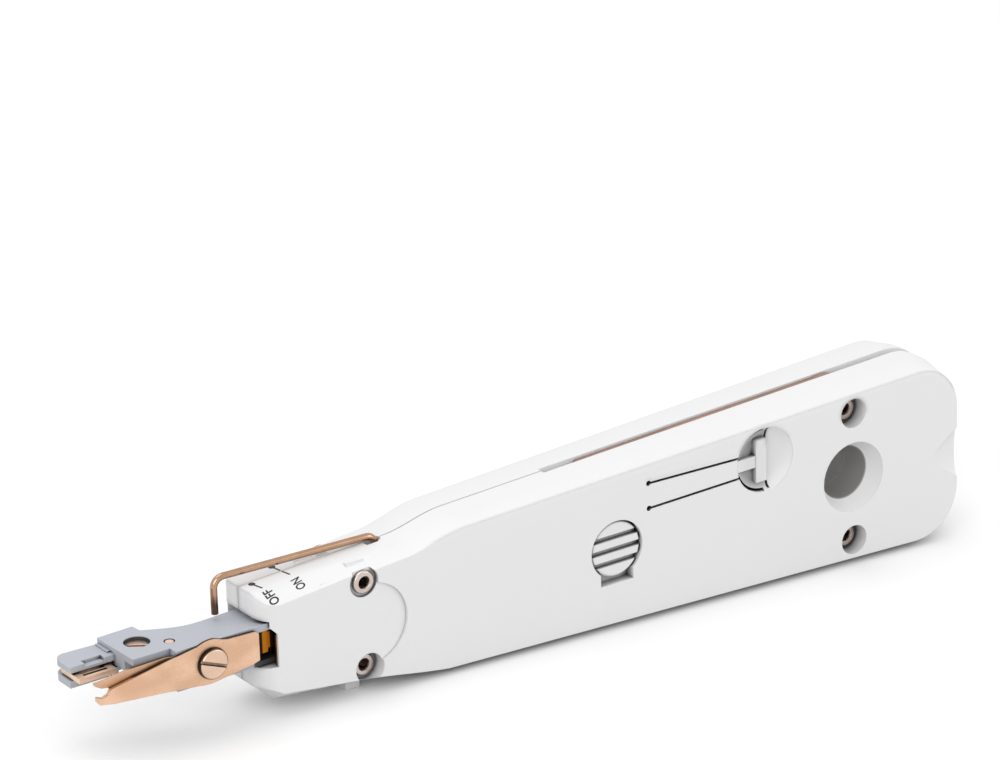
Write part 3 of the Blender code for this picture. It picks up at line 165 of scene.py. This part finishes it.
# %% The sheet on which a finish is written
class Sheet:
    """A material with a Principled shader, and the ways to add nodes to it."""

    def __init__(self, name, **constants):
        self.material = bpy.data.materials.new(name)
        self.material.use_nodes = True
        self.tree = self.material.node_tree
        self.shader = self.tree.nodes["Principled BSDF"]
        for key, value in constants.items():
            self.shader.inputs[key.replace("_", " ")].default_value = value

    def node(self, kind, settings=None, inputs=None, output=0):
        made = self.tree.nodes.new(kind)
        for key, value in (settings or {}).items():
            setattr(made, key, value)
        for key, value in (inputs or {}).items():
            self.feed(made.inputs[key], value)
        return Wire(self, made.outputs[output])

    def feed(self, socket, value):
        if isinstance(value, Wire):
            self.tree.links.new(value.socket, socket)
        else:
            socket.default_value = value

    def set(self, **wires):
        for key, value in wires.items():
            self.feed(self.shader.inputs[key.replace("_", " ")], value)

    def place(self, stretch=(1.0, 1.0, 1.0), turned=(0.0, 0.0, 0.0)):
        spot = self.node("ShaderNodeTexCoord", output="Object")
        return self.node("ShaderNodeMapping", {}, {"Vector": spot, "Rotation": turned, "Scale": stretch})

    def noise(self, size, detail=2.0, stretch=(1.0, 1.0, 1.0), turned=(0.0, 0.0, 0.0)):
        """Noise with blotches of about that size, in millimetres, from 0 to 1."""
        return self.node("ShaderNodeTexNoise", {}, {"Vector": self.place(stretch, turned),
                                                    "Scale": 1.0 / (size * MM), "Detail": detail})

    def between(self, value, low, high):
        """0 below low, 1 above high, and smooth between."""
        return self.node("ShaderNodeMapRange", {"interpolation_type": "SMOOTHSTEP"},
                         {"Value": value, "From Min": low, "From Max": high})

    def mix(self, factor, first, second):
        return self.node("ShaderNodeMix", {"data_type": "RGBA"},
                         {0: factor, 6: (*first, 1.0) if isinstance(first, tuple) else first,
                          7: (*second, 1.0) if isinstance(second, tuple) else second}, output=2)

    def bump(self, height, depth, strength=1.0, onto=None):
        """depth is the bump's full height in millimetres."""
        wires = {"Height": height, "Distance": depth * MM, "Strength": strength}
        if onto:
            wires["Normal"] = onto
        return self.node("ShaderNodeBump", {}, wires)

    def along_tool(self, axis):
        """How far a point lies along one of the tool's own axes, in millimetres."""
        spot = self.node("ShaderNodeVectorMath", {"operation": "SUBTRACT"},
                         {0: self.node("ShaderNodeTexCoord", output="Object"), 1: tuple(start)})
        return self.node("ShaderNodeVectorMath", {"operation": "DOT_PRODUCT"}, {0: spot, 1: tuple(axis)},
                         output="Value") * (1.0 / MM)

    def from_axle(self, first, a, second, b):
        """How far a point lies from a line through a and b along two of the tool's axes, in millimetres."""
        return ((self.along_tool(first) - a) ** 2.0 + (self.along_tool(second) - b) ** 2.0) ** 0.5

    def soft_edges(self, radius):
        """Normals that turn round sharp edges, as if these were rounded by that many millimetres."""
        return self.node("ShaderNodeBevel", {"samples": 6}, {"Radius": radius * MM})

    def hollow(self, reach):
        """1 in the open, towards 0 deep in slots and corners."""
        return self.node("ShaderNodeAmbientOcclusion", {"samples": 8}, {"Distance": reach * MM}, output="AO")


# %% [markdown]
# ## Places on the shells
# Some finishes and some painted shade belong to one place, such as the shade painted in the bore of
# the hanging hole or in the dish of the latch.
# The places are given along the tool's own axes. Where a place has two numbers, the finish fades in
# from the one to the other, so that no hard line shows.

# %% Places on the shells, in millimetres on the tool
HOLE_X = 51.2
HOLE_BORE = (4.95, 5.10)
LATCH = (31.8, 8.4)
LATCH_DISH = (5.95, 6.20)
LATCH_SOFT = (3.4, 6.1)
LATCH_FRONT_HALF = (32.3, 32.6)
LATCH_FLOOR = (-8.6, -7.4)
FACE_BEGINS = (2.5, 5.0)
LONG_EDGE = (10.2, 11.8)
NOSE_FRONT = (-70.6, -69.6)
SMALL_ROUNDING = 0.14
BROAD_ROUNDING = 1.5
print("the hanging hole is", round(HOLE_X - LATCH[0], 1), "mm behind the latch")

# %% [markdown]
# ## Moulded plastic
# The half shells and the button are injection moulded in a pale, cool white. The mould's steel was
# spark eroded, so the skin has a grain finer than a hair, which spreads the light. A flat colour
# would look like paper. Two small things make it plastic: the grain as a bump and a roughness that
# drifts a little. Shade is painted into the slots: almost black in the slits of the face, and only a
# pale grey line in the seam. A wide painted shade darkens the face where other parts stand near it,
# and a soft one lies over the latch's dish. The bore of the hanging hole and the sunk half of the
# latch's dish are dark in the photograph, mostly from shade, so shade is painted into them by their
# place. The long upper edge and the nose's front are rounder than the small edges, so two roundings
# are mixed.

# %% The plastic of the shells
def darker(colour, share):
    """The colour with that share of its light."""
    return tuple(c * share for c in colour)


def moulded(name, colour, slot_shade, grain=0.012):
    sheet = Sheet(name, IOR=1.49)
    drift = sheet.noise(14.0, 3.0)
    fine = sheet.noise(0.22, 2.0)
    on_face = sheet.between(0.0 - sheet.along_tool(across), *FACE_BEGINS)
    # Painted shade in slots and hollows: almost black on the face, pale grey in the seam.
    deep = sheet.mix(on_face, slot_shade, darker(slot_shade, 0.04))
    open_air = sheet.between(sheet.hollow(1.3), 0.24, 0.64)
    clean = sheet.mix(drift, darker(colour, 0.985), tuple(min(c * 1.01, 1.0) for c in colour))
    # Painted shade in the bore of the hanging hole.
    in_bore = 1.0 - sheet.between(sheet.from_axle(along, HOLE_X, upward, 0.0), *HOLE_BORE)
    clean = sheet.mix(in_bore, clean, sheet.mix(drift, (0.26, 0.25, 0.24), (0.36, 0.35, 0.34)))
    shade = (1.0 - sheet.between(sheet.hollow(5.0), 0.12, 0.60)) * on_face
    shaded = sheet.mix(shade, clean, darker(colour, 0.30))
    # Soft painted shade over the latch's dish, and deeper painted shade in its sunk front half.
    from_latch = sheet.from_axle(along, LATCH[0], upward, LATCH[1])
    soft = 1.0 - sheet.between(from_latch, *LATCH_SOFT)
    shaded = sheet.mix(soft * on_face * 0.13, shaded, darker(colour, 0.42))
    in_dish = 1.0 - sheet.between(from_latch, *LATCH_DISH)
    front_half = 1.0 - sheet.between(sheet.along_tool(along), *LATCH_FRONT_HALF)
    sunk = in_dish * on_face * front_half * sheet.between(sheet.along_tool(across), *LATCH_FLOOR)
    shaded = sheet.mix(sunk * 0.75, shaded, darker(colour, 0.28))
    long_edge = sheet.between(sheet.along_tool(upward), *LONG_EDGE) * on_face
    front_edge = 1.0 - sheet.between(sheet.along_tool(along), *NOSE_FRONT)
    broad_edge = 1.0 - (1.0 - long_edge) * (1.0 - front_edge)
    roundings = {0: broad_edge, 4: sheet.soft_edges(SMALL_ROUNDING), 5: sheet.soft_edges(BROAD_ROUNDING)}
    rounded = sheet.node("ShaderNodeMix", {"data_type": "VECTOR"}, roundings, output=1)
    sheet.set(Base_Color=sheet.mix(open_air, deep, shaded),
              Roughness=0.40 + drift * 0.10 + fine * 0.05,
              Normal=sheet.bump(fine, grain, 0.55, rounded))
    return sheet.material


# The third colour is the shade painted into the slots and hollows.
shell_plastic = moulded("shell_plastic", (0.800, 0.800, 0.805), (0.76, 0.73, 0.70))
button_plastic = moulded("button_plastic", (0.785, 0.785, 0.790), (0.42, 0.41, 0.40))
print("made", shell_plastic.name, "and", button_plastic.name)

# %% [markdown]
# ## Places on the blades
# Shade is painted dark on the blades' narrow edges and in a ring round the pivot screw, and on the
# moving blade's tail in the window of the nose, with an amber band in it. The numbers are again
# places along the tool.

# %% Places on the blades, in millimetres on the tool
RING = 2.7
BLADE_BEGINS = (-97.0, -95.5)
TAIL_DARK = (-71.92, -71.84)
TAIL_AMBER = (-70.50, -70.40)
TAIL_DARK_AGAIN = (-69.05, -68.90)
# Painted shade behind the blades' faces and on the tail in the nose's window.
BEHIND_FACE_SHADE = (0.030, 0.020, 0.014)
TAIL_SHADE = (0.02, 0.014, 0.010)
AMBER = (0.42, 0.14, 0.010)
print("the tail is amber over", round(TAIL_DARK_AGAIN[0] - TAIL_AMBER[1], 2), "mm")

# %% [markdown]
# ## Ground copper-coloured steel
# The scissor blades, the comb and the screws have a rose-copper coat over steel. They were ground
# before they were coated, so fine scratches run one way, and the light is drawn out across them.
# Scratches are noise that is stretched along one axis. Edges that rub against each other wear
# brighter, which the difference between a rounded and a plain normal could find. Here a broad
# noise tarnishes the coat instead, because the blades in use are clean all over. The photograph is
# nearly black where two pieces touch, round the pivot screw and on the blades' narrow edges, so
# shade is painted almost black at these places, and the tail behind the nose's window is painted
# with shade and an amber band.

# %% The metals with grinding lines
def ground_metal(name, colour, shade, rough=0.26, line=0.05, depth=0.004, edge=0.07, ring=0.0,
                 tail=None, gaps=(0.30, 0.78), reach=0.9, flat=None):
    """Lines run along X of the tool. ring is the radius of a ring of painted shade round the scissors'
    pivot, and tail the colour of an amber band in the shade painted on a stretch behind the nose's
    window. gaps says how open a place must be to escape painted shade, within that reach, and flat
    how far out a blade's face is, since shade is painted on what lies behind it."""
    sheet = Sheet(name, Metallic=1.0)
    angle = (0.0, tilt, 0.0)
    lines = sheet.noise(line, 2.0, (0.03, 1.0, 1.0), angle)
    broad = sheet.noise(3.5, 3.0, (0.5, 1.0, 1.0), angle)
    worn = sheet.between(broad, 0.35, 0.75)
    # Shade is painted almost black where other parts hem the metal in.
    open_air = sheet.between(sheet.hollow(reach), *gaps)
    clean = sheet.mix(worn * 0.6 + lines * 0.4, shade, colour)
    speck = sheet.between(sheet.noise(0.30, 4.0), 0.56, 0.74)
    clean = sheet.mix(speck * 0.35, clean, darker(shade, 0.45))
    place = sheet.along_tool(along)
    # Shade painted almost black on what lies behind a blade's face.
    if flat:
        behind = sheet.between(sheet.along_tool(across), 0.10 - flat, 0.22 - flat)
        behind = behind * sheet.between(place, *BLADE_BEGINS)
        clean = sheet.mix(behind * 0.93, clean, BEHIND_FACE_SHADE)
    # Painted shade on the tail behind the nose's window, with an amber band in it.
    if tail:
        amber_band = sheet.between(place, *TAIL_AMBER) * (1.0 - sheet.between(place, *TAIL_DARK_AGAIN))
        inside = sheet.mix(amber_band, TAIL_SHADE, tail)
        clean = sheet.mix(sheet.between(place, *TAIL_DARK), clean, inside)
    # A ring of painted shade round the pivot screw.
    if ring:
        away = sheet.from_axle(along, PIVOT_ON_TOOL.x / MM, upward, PIVOT_ON_TOOL.z / MM)
        outside = sheet.between(away, ring + 0.02, ring + 0.12)
        ring_shade = sheet.between(away, ring - 0.20, ring - 0.06) * (1.0 - outside)
        open_air = open_air * (1.0 - ring_shade)
    sheet.set(Base_Color=sheet.mix(open_air, darker(shade, 0.06), clean),
              Roughness=rough + lines * 0.16 + broad * 0.08,
              Normal=sheet.bump(lines, depth, 0.6, sheet.soft_edges(edge)))
    return sheet.material


comb_copper = ground_metal("comb_copper", (0.92, 0.69, 0.54), (0.74, 0.52, 0.39), gaps=(0.42, 0.80),
                           reach=2.2)
outer_copper = ground_metal("outer_copper", (0.84, 0.57, 0.40), (0.62, 0.38, 0.24), ring=RING,
                            tail=AMBER, flat=6.5)
inner_copper = ground_metal("inner_copper", (0.68, 0.44, 0.29), (0.50, 0.30, 0.18), flat=5.75)
screw_copper = ground_metal("screw_copper", (0.84, 0.62, 0.48), (0.66, 0.45, 0.33), 0.24, 0.08, ring=RING,
                            gaps=(0.50, 0.92))
plate_copper = ground_metal("plate_copper", (0.90, 0.70, 0.58), (0.76, 0.55, 0.44), gaps=(0.22, 0.52))
guide_bronze = ground_metal("guide_bronze", (0.86, 0.36, 0.05), (0.60, 0.21, 0.02), 0.22, 0.10, flat=5.9)
plate_steel = ground_metal("plate_steel", (0.46, 0.29, 0.22), (0.33, 0.20, 0.15), 0.30, 0.06)
print("made", comb_copper.name, outer_copper.name, screw_copper.name, guide_bronze.name, plate_steel.name)

# %% [markdown]
# ## Drawn wire and turned tube
# The bail is hard wire that was drawn through a die and then plated, so it is smooth and bright.
# The rivets are nickel-plated tubes. Both are glossy metals whose only marks are a slight cloudiness
# and tiny pits, so the noise here is even in all directions. Shade is painted into their hollows,
# and onto the bail's leg below a height.

# %% The bright metals
def bright_metal(name, colour, shade, rough=0.16, pits=0.18, edge=0.08, low=None):
    """low is a height on the tool below which shade is painted on the metal, as on the bail's leg."""
    sheet = Sheet(name, Metallic=1.0)
    cloud = sheet.noise(2.2, 3.0)
    pitted = sheet.noise(pits, 2.0)
    # Painted shade in the hollows.
    open_air = sheet.between(sheet.hollow(0.8), 0.2, 0.7)
    clean = sheet.mix(cloud, shade, colour)
    # Painted shade on the metal below a given height.
    if low:
        lower_shade = 1.0 - sheet.between(sheet.along_tool(upward), low - 1.0, low + 1.5)
        clean = sheet.mix(lower_shade * 0.80, clean, darker(shade, 0.18))
    sheet.set(Base_Color=sheet.mix(open_air, darker(shade, 0.45), clean),
              Roughness=rough + cloud * 0.12 + pitted * 0.06,
              Normal=sheet.bump(pitted, 0.003, 0.4, sheet.soft_edges(edge)))
    return sheet.material


rivet_nickel = bright_metal("rivet_nickel", (0.68, 0.59, 0.53), (0.48, 0.40, 0.36), 0.18)
bail_plating = bright_metal("bail_plating", (0.54, 0.35, 0.23), (0.38, 0.22, 0.14), 0.05, low=9.0)
spring_steel = bright_metal("spring_steel", (0.66, 0.66, 0.67), (0.48, 0.48, 0.50), 0.22)
print("made", rivet_nickel.name, bail_plating.name, spring_steel.name)

# %% [markdown]
# ## Places on the head
# Shade is painted in the hole in the top of the head below its rim, and on the end of the head that
# lies in the mouth of the nose.

# %% Places on the head, in millimetres on the tool
HEAD_BORE = (-90.4, 1.7, 2.35)
BORE_RIM = (5.02, 5.14)
MOUTH_BEGINS = (-72.2, -71.7)
MOUTH_TOP = (2.0, 2.4)
print("the head's bore is", 2.0 * HEAD_BORE[2], "mm wide")

# %% [markdown]
# ## The grey head
# The head is cast and then coated in a satin blue-grey. A casting is never quite even: its skin has
# a soft, shallow texture and the coat is thinner and paler on the corners. The paler corners come
# from comparing two normals, the true one and one that is rounded: they differ only at an edge.

# %% The coat of the head and the block behind it
def cast_coat(name, colour, pale, rough=0.42, grain=0.01, bore=None):
    """bore is the middle and the radius of a hole in the top, in which shade is painted below its rim.
    Shade is painted too on the end of such a head that lies in the mouth of the nose."""
    sheet = Sheet(name, IOR=1.5)
    true_normal = sheet.node("ShaderNodeNewGeometry", output="Normal")
    rounded = sheet.node("ShaderNodeBevel", {"samples": 6}, {"Radius": 0.22 * MM})
    likeness = sheet.node("ShaderNodeVectorMath", {"operation": "DOT_PRODUCT"}, {0: true_normal, 1: rounded},
                          output="Value")
    edge = 1.0 - sheet.between(likeness, 0.80, 0.98)
    # Painted shade in the hollows, and below, in the bore's wall and on the end in the nose's mouth.
    open_air = sheet.between(sheet.hollow(1.3), 0.32, 0.74)
    if bore:
        height = sheet.along_tool(upward)
        away = sheet.from_axle(along, bore[0], across, bore[1])
        wall = 1.0 - sheet.between(away, bore[2], bore[2] + 0.12)
        wall = wall * (1.0 - sheet.between(height, *BORE_RIM))
        in_mouth = sheet.between(sheet.along_tool(along), *MOUTH_BEGINS)
        in_mouth = in_mouth * (1.0 - sheet.between(height, *MOUTH_TOP))
        open_air = open_air * (1.0 - wall) * (1.0 - in_mouth)
    skin = sheet.noise(0.35, 3.0)
    cloud = sheet.noise(5.0, 3.0)
    clean = sheet.mix(cloud, darker(colour, 0.93), colour)
    worn = sheet.mix(edge * 0.55 * (0.4 + cloud), clean, pale)
    sheet.set(Base_Color=sheet.mix(open_air, darker(colour, 0.07), worn),
              Roughness=rough + cloud * 0.10 + skin * 0.06,
              Normal=sheet.bump(skin, grain, 0.6, sheet.soft_edges(0.10)))
    return sheet.material


head_coat = cast_coat("head_coat", (0.460, 0.480, 0.530), (0.74, 0.75, 0.78), bore=HEAD_BORE)
block_plastic = cast_coat("block_plastic", (0.065, 0.066, 0.070), (0.14, 0.14, 0.15), 0.48)
print("made", head_coat.name, "and", block_plastic.name)

# %% [markdown]
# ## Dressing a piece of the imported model
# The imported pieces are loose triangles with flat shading. They could stay as they are and take a
# finish, but round forms would show their facets. So each is copied, its triangles are merged and
# flat areas are joined again, and the copy is shaded smooth up to an angle. Weighted normals keep
# large flat faces flat beside a small rounding.

# %% Copying, merging and smoothing one piece
def pick(piece):
    bpy.ops.object.select_all(action="DESELECT")
    piece.select_set(True)
    bpy.context.view_layer.objects.active = piece


def finish_shading(piece, angle):
    pick(piece)
    bpy.ops.object.shade_smooth_by_angle(angle=math.radians(angle))
    bpy.ops.object.modifier_add(type="WEIGHTED_NORMAL")
    piece.modifiers[-1].keep_sharp = True
    bpy.ops.object.modifier_apply(modifier=piece.modifiers[-1].name)


def dress(node, name, finish, angle=32.0):
    source = frame["nodes"][node]
    piece = bpy.data.objects.new(name, source.data.copy())
    bpy.context.scene.collection.objects.link(piece)
    piece.data.materials.clear()
    piece.data.materials.append(finish)
    pick(piece)
    bpy.ops.mesh.customdata_custom_splitnormals_clear()
    bpy.ops.object.mode_set(mode="EDIT")
    bpy.ops.mesh.select_all(action="SELECT")
    bpy.ops.mesh.remove_doubles(threshold=0.000001)
    bpy.ops.mesh.dissolve_limited(angle_limit=math.radians(0.2))
    bpy.ops.object.mode_set(mode="OBJECT")
    finish_shading(piece, angle)
    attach(piece, source["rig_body"])
    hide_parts(node)
    print(name, "has", len(piece.data.polygons), "faces")
    return piece


# %% [markdown]
# ## The two half shells
# The handle is two mouldings that meet on a seam along the middle. They keep their shape from the
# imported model, with the stepped nose, the slots and the latch tongue beside the ribbed button.

# %% The half shells and the button
front_shell = dress("housing_front", "front_shell", shell_plastic)
back_shell = dress("housing_back", "back_shell", shell_plastic)
button = dress("ribbed_button", "button", button_plastic)

# %% [markdown]
# ## Rivets, springs and folded plates
# Four tubular rivets hold the shells. A hook and a blade of stamped steel lie folded in the narrow
# sides, so that only their spines show as thin dark lines. The springs and the block that slides in
# the nose are hidden at rest, and get their finish all the same, because they show when it is open.

# %% The small metal pieces of the handle
for place_name in ("front_upper", "front_lower", "rear_upper", "rear_lower"):
    dress("rivet_" + place_name, "tube_" + place_name, rivet_nickel, 50.0)
hook_plate = dress("fold_hook", "hook_plate", plate_steel)
blade_plate = dress("release_blade", "blade_plate", plate_steel)
head_return = dress("main_spring", "head_return", spring_steel, 80.0)
button_return = dress("button_spring", "button_return", spring_steel, 80.0)
block = dress("slide_carriage", "block", block_plastic)
bail = dress("sensor_bail", "bail", bail_plating, 80.0)

# %% [markdown]
# ## The springs' own meshes
# When the head is pushed in, the block presses its spring together, and the button does the same to
# the small one. Here each spring only gets a mesh of its own, and the middle of its far end is found;
# it is not made shorter.

# %% Each spring's own mesh
def give_way(piece, node, side):
    """side is the number of the axis of the room, 0 for X and 1 for Y, along which the spring lies."""
    low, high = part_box(node)
    fixed_end = (Vector(low) + Vector(high)) * 0.5
    fixed_end[side] = high[side]
    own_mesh(piece)


give_way(head_return, "main_spring", 0)
give_way(button_return, "button_spring", 1)

# %% [markdown]
# ## The head
# The head carries two jaws with a comb between them, which press the wire home, and a pair of
# scissors, whose outer blade turns on a screw. A bronze guide in the nose steers its tail.

# %% The head, the scissors and the guide
head = dress("insertion_head", "head", head_coat)
comb = dress("wire_insert", "comb", comb_copper)
plate_screw = dress("head_screw", "plate_screw", plate_copper)
plate_pin = dress("head_pin", "plate_pin", plate_copper)
inner_blade = dress("scissor_blade_fixed", "inner_blade", inner_copper)
outer_blade = dress("scissor_blade_moving", "outer_blade", outer_copper)
pivot_screw = dress("scissor_pivot_screw", "pivot_screw", screw_copper)
guide = dress("scissor_cam", "guide", guide_bronze)

# %% [markdown]
# ## Printed marks
# ON and OFF and two pointers are printed in black on top of the nose, beside the wire bail. Print
# is a film of ink, far thinner than a hair. It could be painted into the shell's material, but a
# thin sheet of its own keeps sharp edges at any distance. The flat sheet is pressed straight down
# onto the shell with a Shrinkwrap modifier, and Solidify gives it its thickness.

# %% The ink, and how a flat mark is laid on the shell
def ink_film(name):
    sheet = Sheet(name, IOR=1.45)
    speckle = sheet.noise(0.12, 3.0)
    sheet.set(Base_Color=sheet.mix(speckle, (0.012, 0.012, 0.014), (0.035, 0.034, 0.034)),
              Roughness=0.45 + speckle * 0.2, Normal=sheet.bump(speckle, 0.003, 0.4))
    return sheet.material


black_ink = ink_film("black_ink")
INK = 0.015 * MM
ABOVE_SHELL = 13.0


def lay_ink(piece, skin):
    """piece is a flat mesh over the skin. It is pressed straight down onto it."""
    pick(piece)
    bpy.ops.object.mode_set(mode="EDIT")
    bpy.ops.mesh.select_all(action="SELECT")
    bpy.ops.mesh.quads_convert_to_tris()
    bpy.ops.mesh.subdivide(number_cuts=2)
    bpy.ops.object.mode_set(mode="OBJECT")
    bpy.ops.object.modifier_add(type="SHRINKWRAP")
    press = piece.modifiers[-1]
    press.wrap_method = "PROJECT"
    press.target = skin
    press.use_negative_direction = True
    press.use_positive_direction = False
    press.offset = INK
    bpy.ops.object.modifier_apply(modifier=press.name)
    bpy.ops.object.modifier_add(type="SOLIDIFY")
    thick = piece.modifiers[-1]
    thick.thickness = INK
    thick.offset = -1.0
    bpy.ops.object.modifier_apply(modifier=thick.name)
    piece.data.materials.clear()
    piece.data.materials.append(black_ink)
    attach(piece, "handle")
    print(piece.name, "is laid on with", len(piece.data.polygons), "faces")


# %% [markdown]
# ## The words ON and OFF
# They are Blender's own text, made a mesh before it is placed. The tool is read with its head up,
# so the words run across the nose. Their letters are narrow, which a scale of their width gives.

# %% Two short words
def word(name, letters, x, y, height, width, slant=0.0):
    """x and y are the middle of the word on the tool, in millimetres. height is that of a capital."""
    bpy.ops.object.select_all(action="DESELECT")
    bpy.ops.object.text_add()
    made = bpy.context.object
    made.name = name
    made.data.body = letters
    made.data.align_x = "CENTER"
    made.data.align_y = "CENTER"
    made.data.resolution_u = 6
    made.data.offset = 0.022
    pick(made)
    bpy.ops.object.convert(target="MESH")
    tall = made.dimensions.y
    wide = made.dimensions.x
    shape = Matrix.Diagonal((width * MM / wide, height * MM / tall, 1.0, 1.0))
    reading = Matrix.Rotation(math.radians(90.0 + slant), 4, "Z")
    made.data.transform(tool @ Matrix.Translation(Vector((x, y, ABOVE_SHELL)) * MM) @ reading @ shape)
    return made


lay_ink(word("mark_on", "ON", -62.5, -4.72, 1.9, 2.0, 8.0), front_shell)
lay_ink(word("mark_off", "OFF", -68.2, -5.25, 1.9, 2.5, 8.0), front_shell)

# %% [markdown]
# ## The two pointers
# Each pointer is a dot with a tail towards its word. A dot starts as a filled circle, and the tail
# is drawn out of it: the two edges that face the tail are extruded to its far end. The upper pointer
# crosses the seam, so it is two sheets, one on each half shell.

# %% Dots with tails
def pointer(name, dot, end, radius, skin, hold=0.90):
    """dot and end are places on the tool in millimetres, the middle of the dot and the tail's far end.
    The less hold is, the more of the dot's width goes into the tail."""
    reach = Vector(end) - Vector(dot)
    bpy.ops.object.select_all(action="DESELECT")
    bpy.ops.mesh.primitive_circle_add(vertices=20, radius=radius * MM, fill_type="NGON")
    made = bpy.context.object
    made.name = name
    bpy.ops.object.mode_set(mode="EDIT")
    bpy.ops.mesh.select_all(action="DESELECT")
    bpy.ops.mesh.select_mode(type="EDGE")
    bpy.ops.object.mode_set(mode="OBJECT")
    for edge in made.data.edges:
        a, b = (made.data.vertices[i].co for i in edge.vertices)
        edge.select = (a.x + b.x) * 0.5 > hold * radius * MM
    bpy.ops.object.mode_set(mode="EDIT")
    bpy.ops.mesh.extrude_region_move(
        TRANSFORM_OT_translate={"value": ((reach.length - radius) * MM, 0.0, 0.0)})
    bpy.ops.object.mode_set(mode="OBJECT")
    angle = math.atan2(reach.y, reach.x)
    above = Matrix.Translation(Vector((*dot, ABOVE_SHELL)) * MM)
    made.data.transform(tool @ above @ Matrix.Rotation(angle, 4, "Z"))
    lay_ink(made, skin)
    return made


pointer("pointer_off", (-69.36, -0.95), (-68.83, -3.45), 0.62, front_shell)
pointer("pointer_on", (-63.34, 2.30), (-62.98, 0.17), 0.62, back_shell)
pointer("pointer_on_tail", (-62.92, -0.36), (-62.59, -2.25), 0.19, front_shell, 0.10)

# %% [markdown]
# ## Floor, backdrop and light
# A pale object on white needs soft light from large lamps, a floor that keeps the shadow, and a
# background that is white to the camera without throwing more light on the object. The floor's
# colour is brighter for camera, mirror and glass rays than for the light that bounces off it.

# %% The floor and the white behind it
FLOOR_WIDTH = 6.0
bpy.ops.object.select_all(action="DESELECT")
bpy.ops.mesh.primitive_plane_add(size=FLOOR_WIDTH, location=(0.0, 0.0, 0.0))
floor = bpy.context.object
floor.name = "floor"
paper = Sheet("paper", Roughness=0.9)
rays = paper.node("ShaderNodeLightPath", output="Is Camera Ray")
rays = rays + paper.node("ShaderNodeLightPath", output="Is Glossy Ray")
rays = rays + paper.node("ShaderNodeLightPath", output="Is Transmission Ray")
paper.set(Base_Color=paper.mix(rays, (0.62, 0.62, 0.62), (0.97, 0.97, 0.97)))
paper.shader.inputs["Specular IOR Level"].default_value = 0.0
floor.data.materials.append(paper.material)

world = bpy.data.worlds.new("studio")
bpy.context.scene.world = world
world.use_nodes = True
sky = world.node_tree
rays = [sky.nodes.new("ShaderNodeLightPath").outputs[kind]
        for kind in ("Is Camera Ray", "Is Glossy Ray", "Is Transmission Ray")]
seen = rays[0]
for other in rays[1:]:
    either = sky.nodes.new("ShaderNodeMath")
    either.operation = "MAXIMUM"
    sky.links.new(seen, either.inputs[0])
    sky.links.new(other, either.inputs[1])
    seen = either.outputs[0]
strength = sky.nodes.new("ShaderNodeMapRange")
strength.inputs["To Min"].default_value = 0.80
strength.inputs["To Max"].default_value = 1.0
sky.links.new(seen, strength.inputs["Value"])
sky.links.new(strength.outputs[0], sky.nodes["Background"].inputs["Strength"])
sky.nodes["Background"].inputs["Color"].default_value = (1.0, 1.0, 1.0, 1.0)
print("the floor is", FLOOR_WIDTH, "m wide and the world is", world.name)

# %% [markdown]
# ## Three soft lamps
# A broad lamp above gives the bright narrow side and the soft shadow, one from the camera's left
# shapes the face, and a weak one from the right keeps the metals from going dark.

# %% The lamps
def lamp(name, place, target, size, power):
    bpy.ops.object.light_add(type="AREA", location=place)
    made = bpy.context.object
    made.name = name
    made.data.shape = "SQUARE"
    made.data.size = size
    made.data.energy = power
    made.rotation_euler = (Vector(place) - Vector(target)).to_track_quat("Z", "Y").to_euler()
    return made


centre = (0.0, 0.0, 0.01)
lamp("lamp_above", (-0.15, 0.25, 1.1), centre, 0.9, 2.6)
lamp("lamp_left", (-0.9, -0.7, 0.6), centre, 0.8, 4.2)
lamp("lamp_right", (0.8, -0.8, 0.5), centre, 0.7, 2.4)
print("three lamps shine on", centre)

bpy.context.scene.view_settings.view_transform = "Standard"
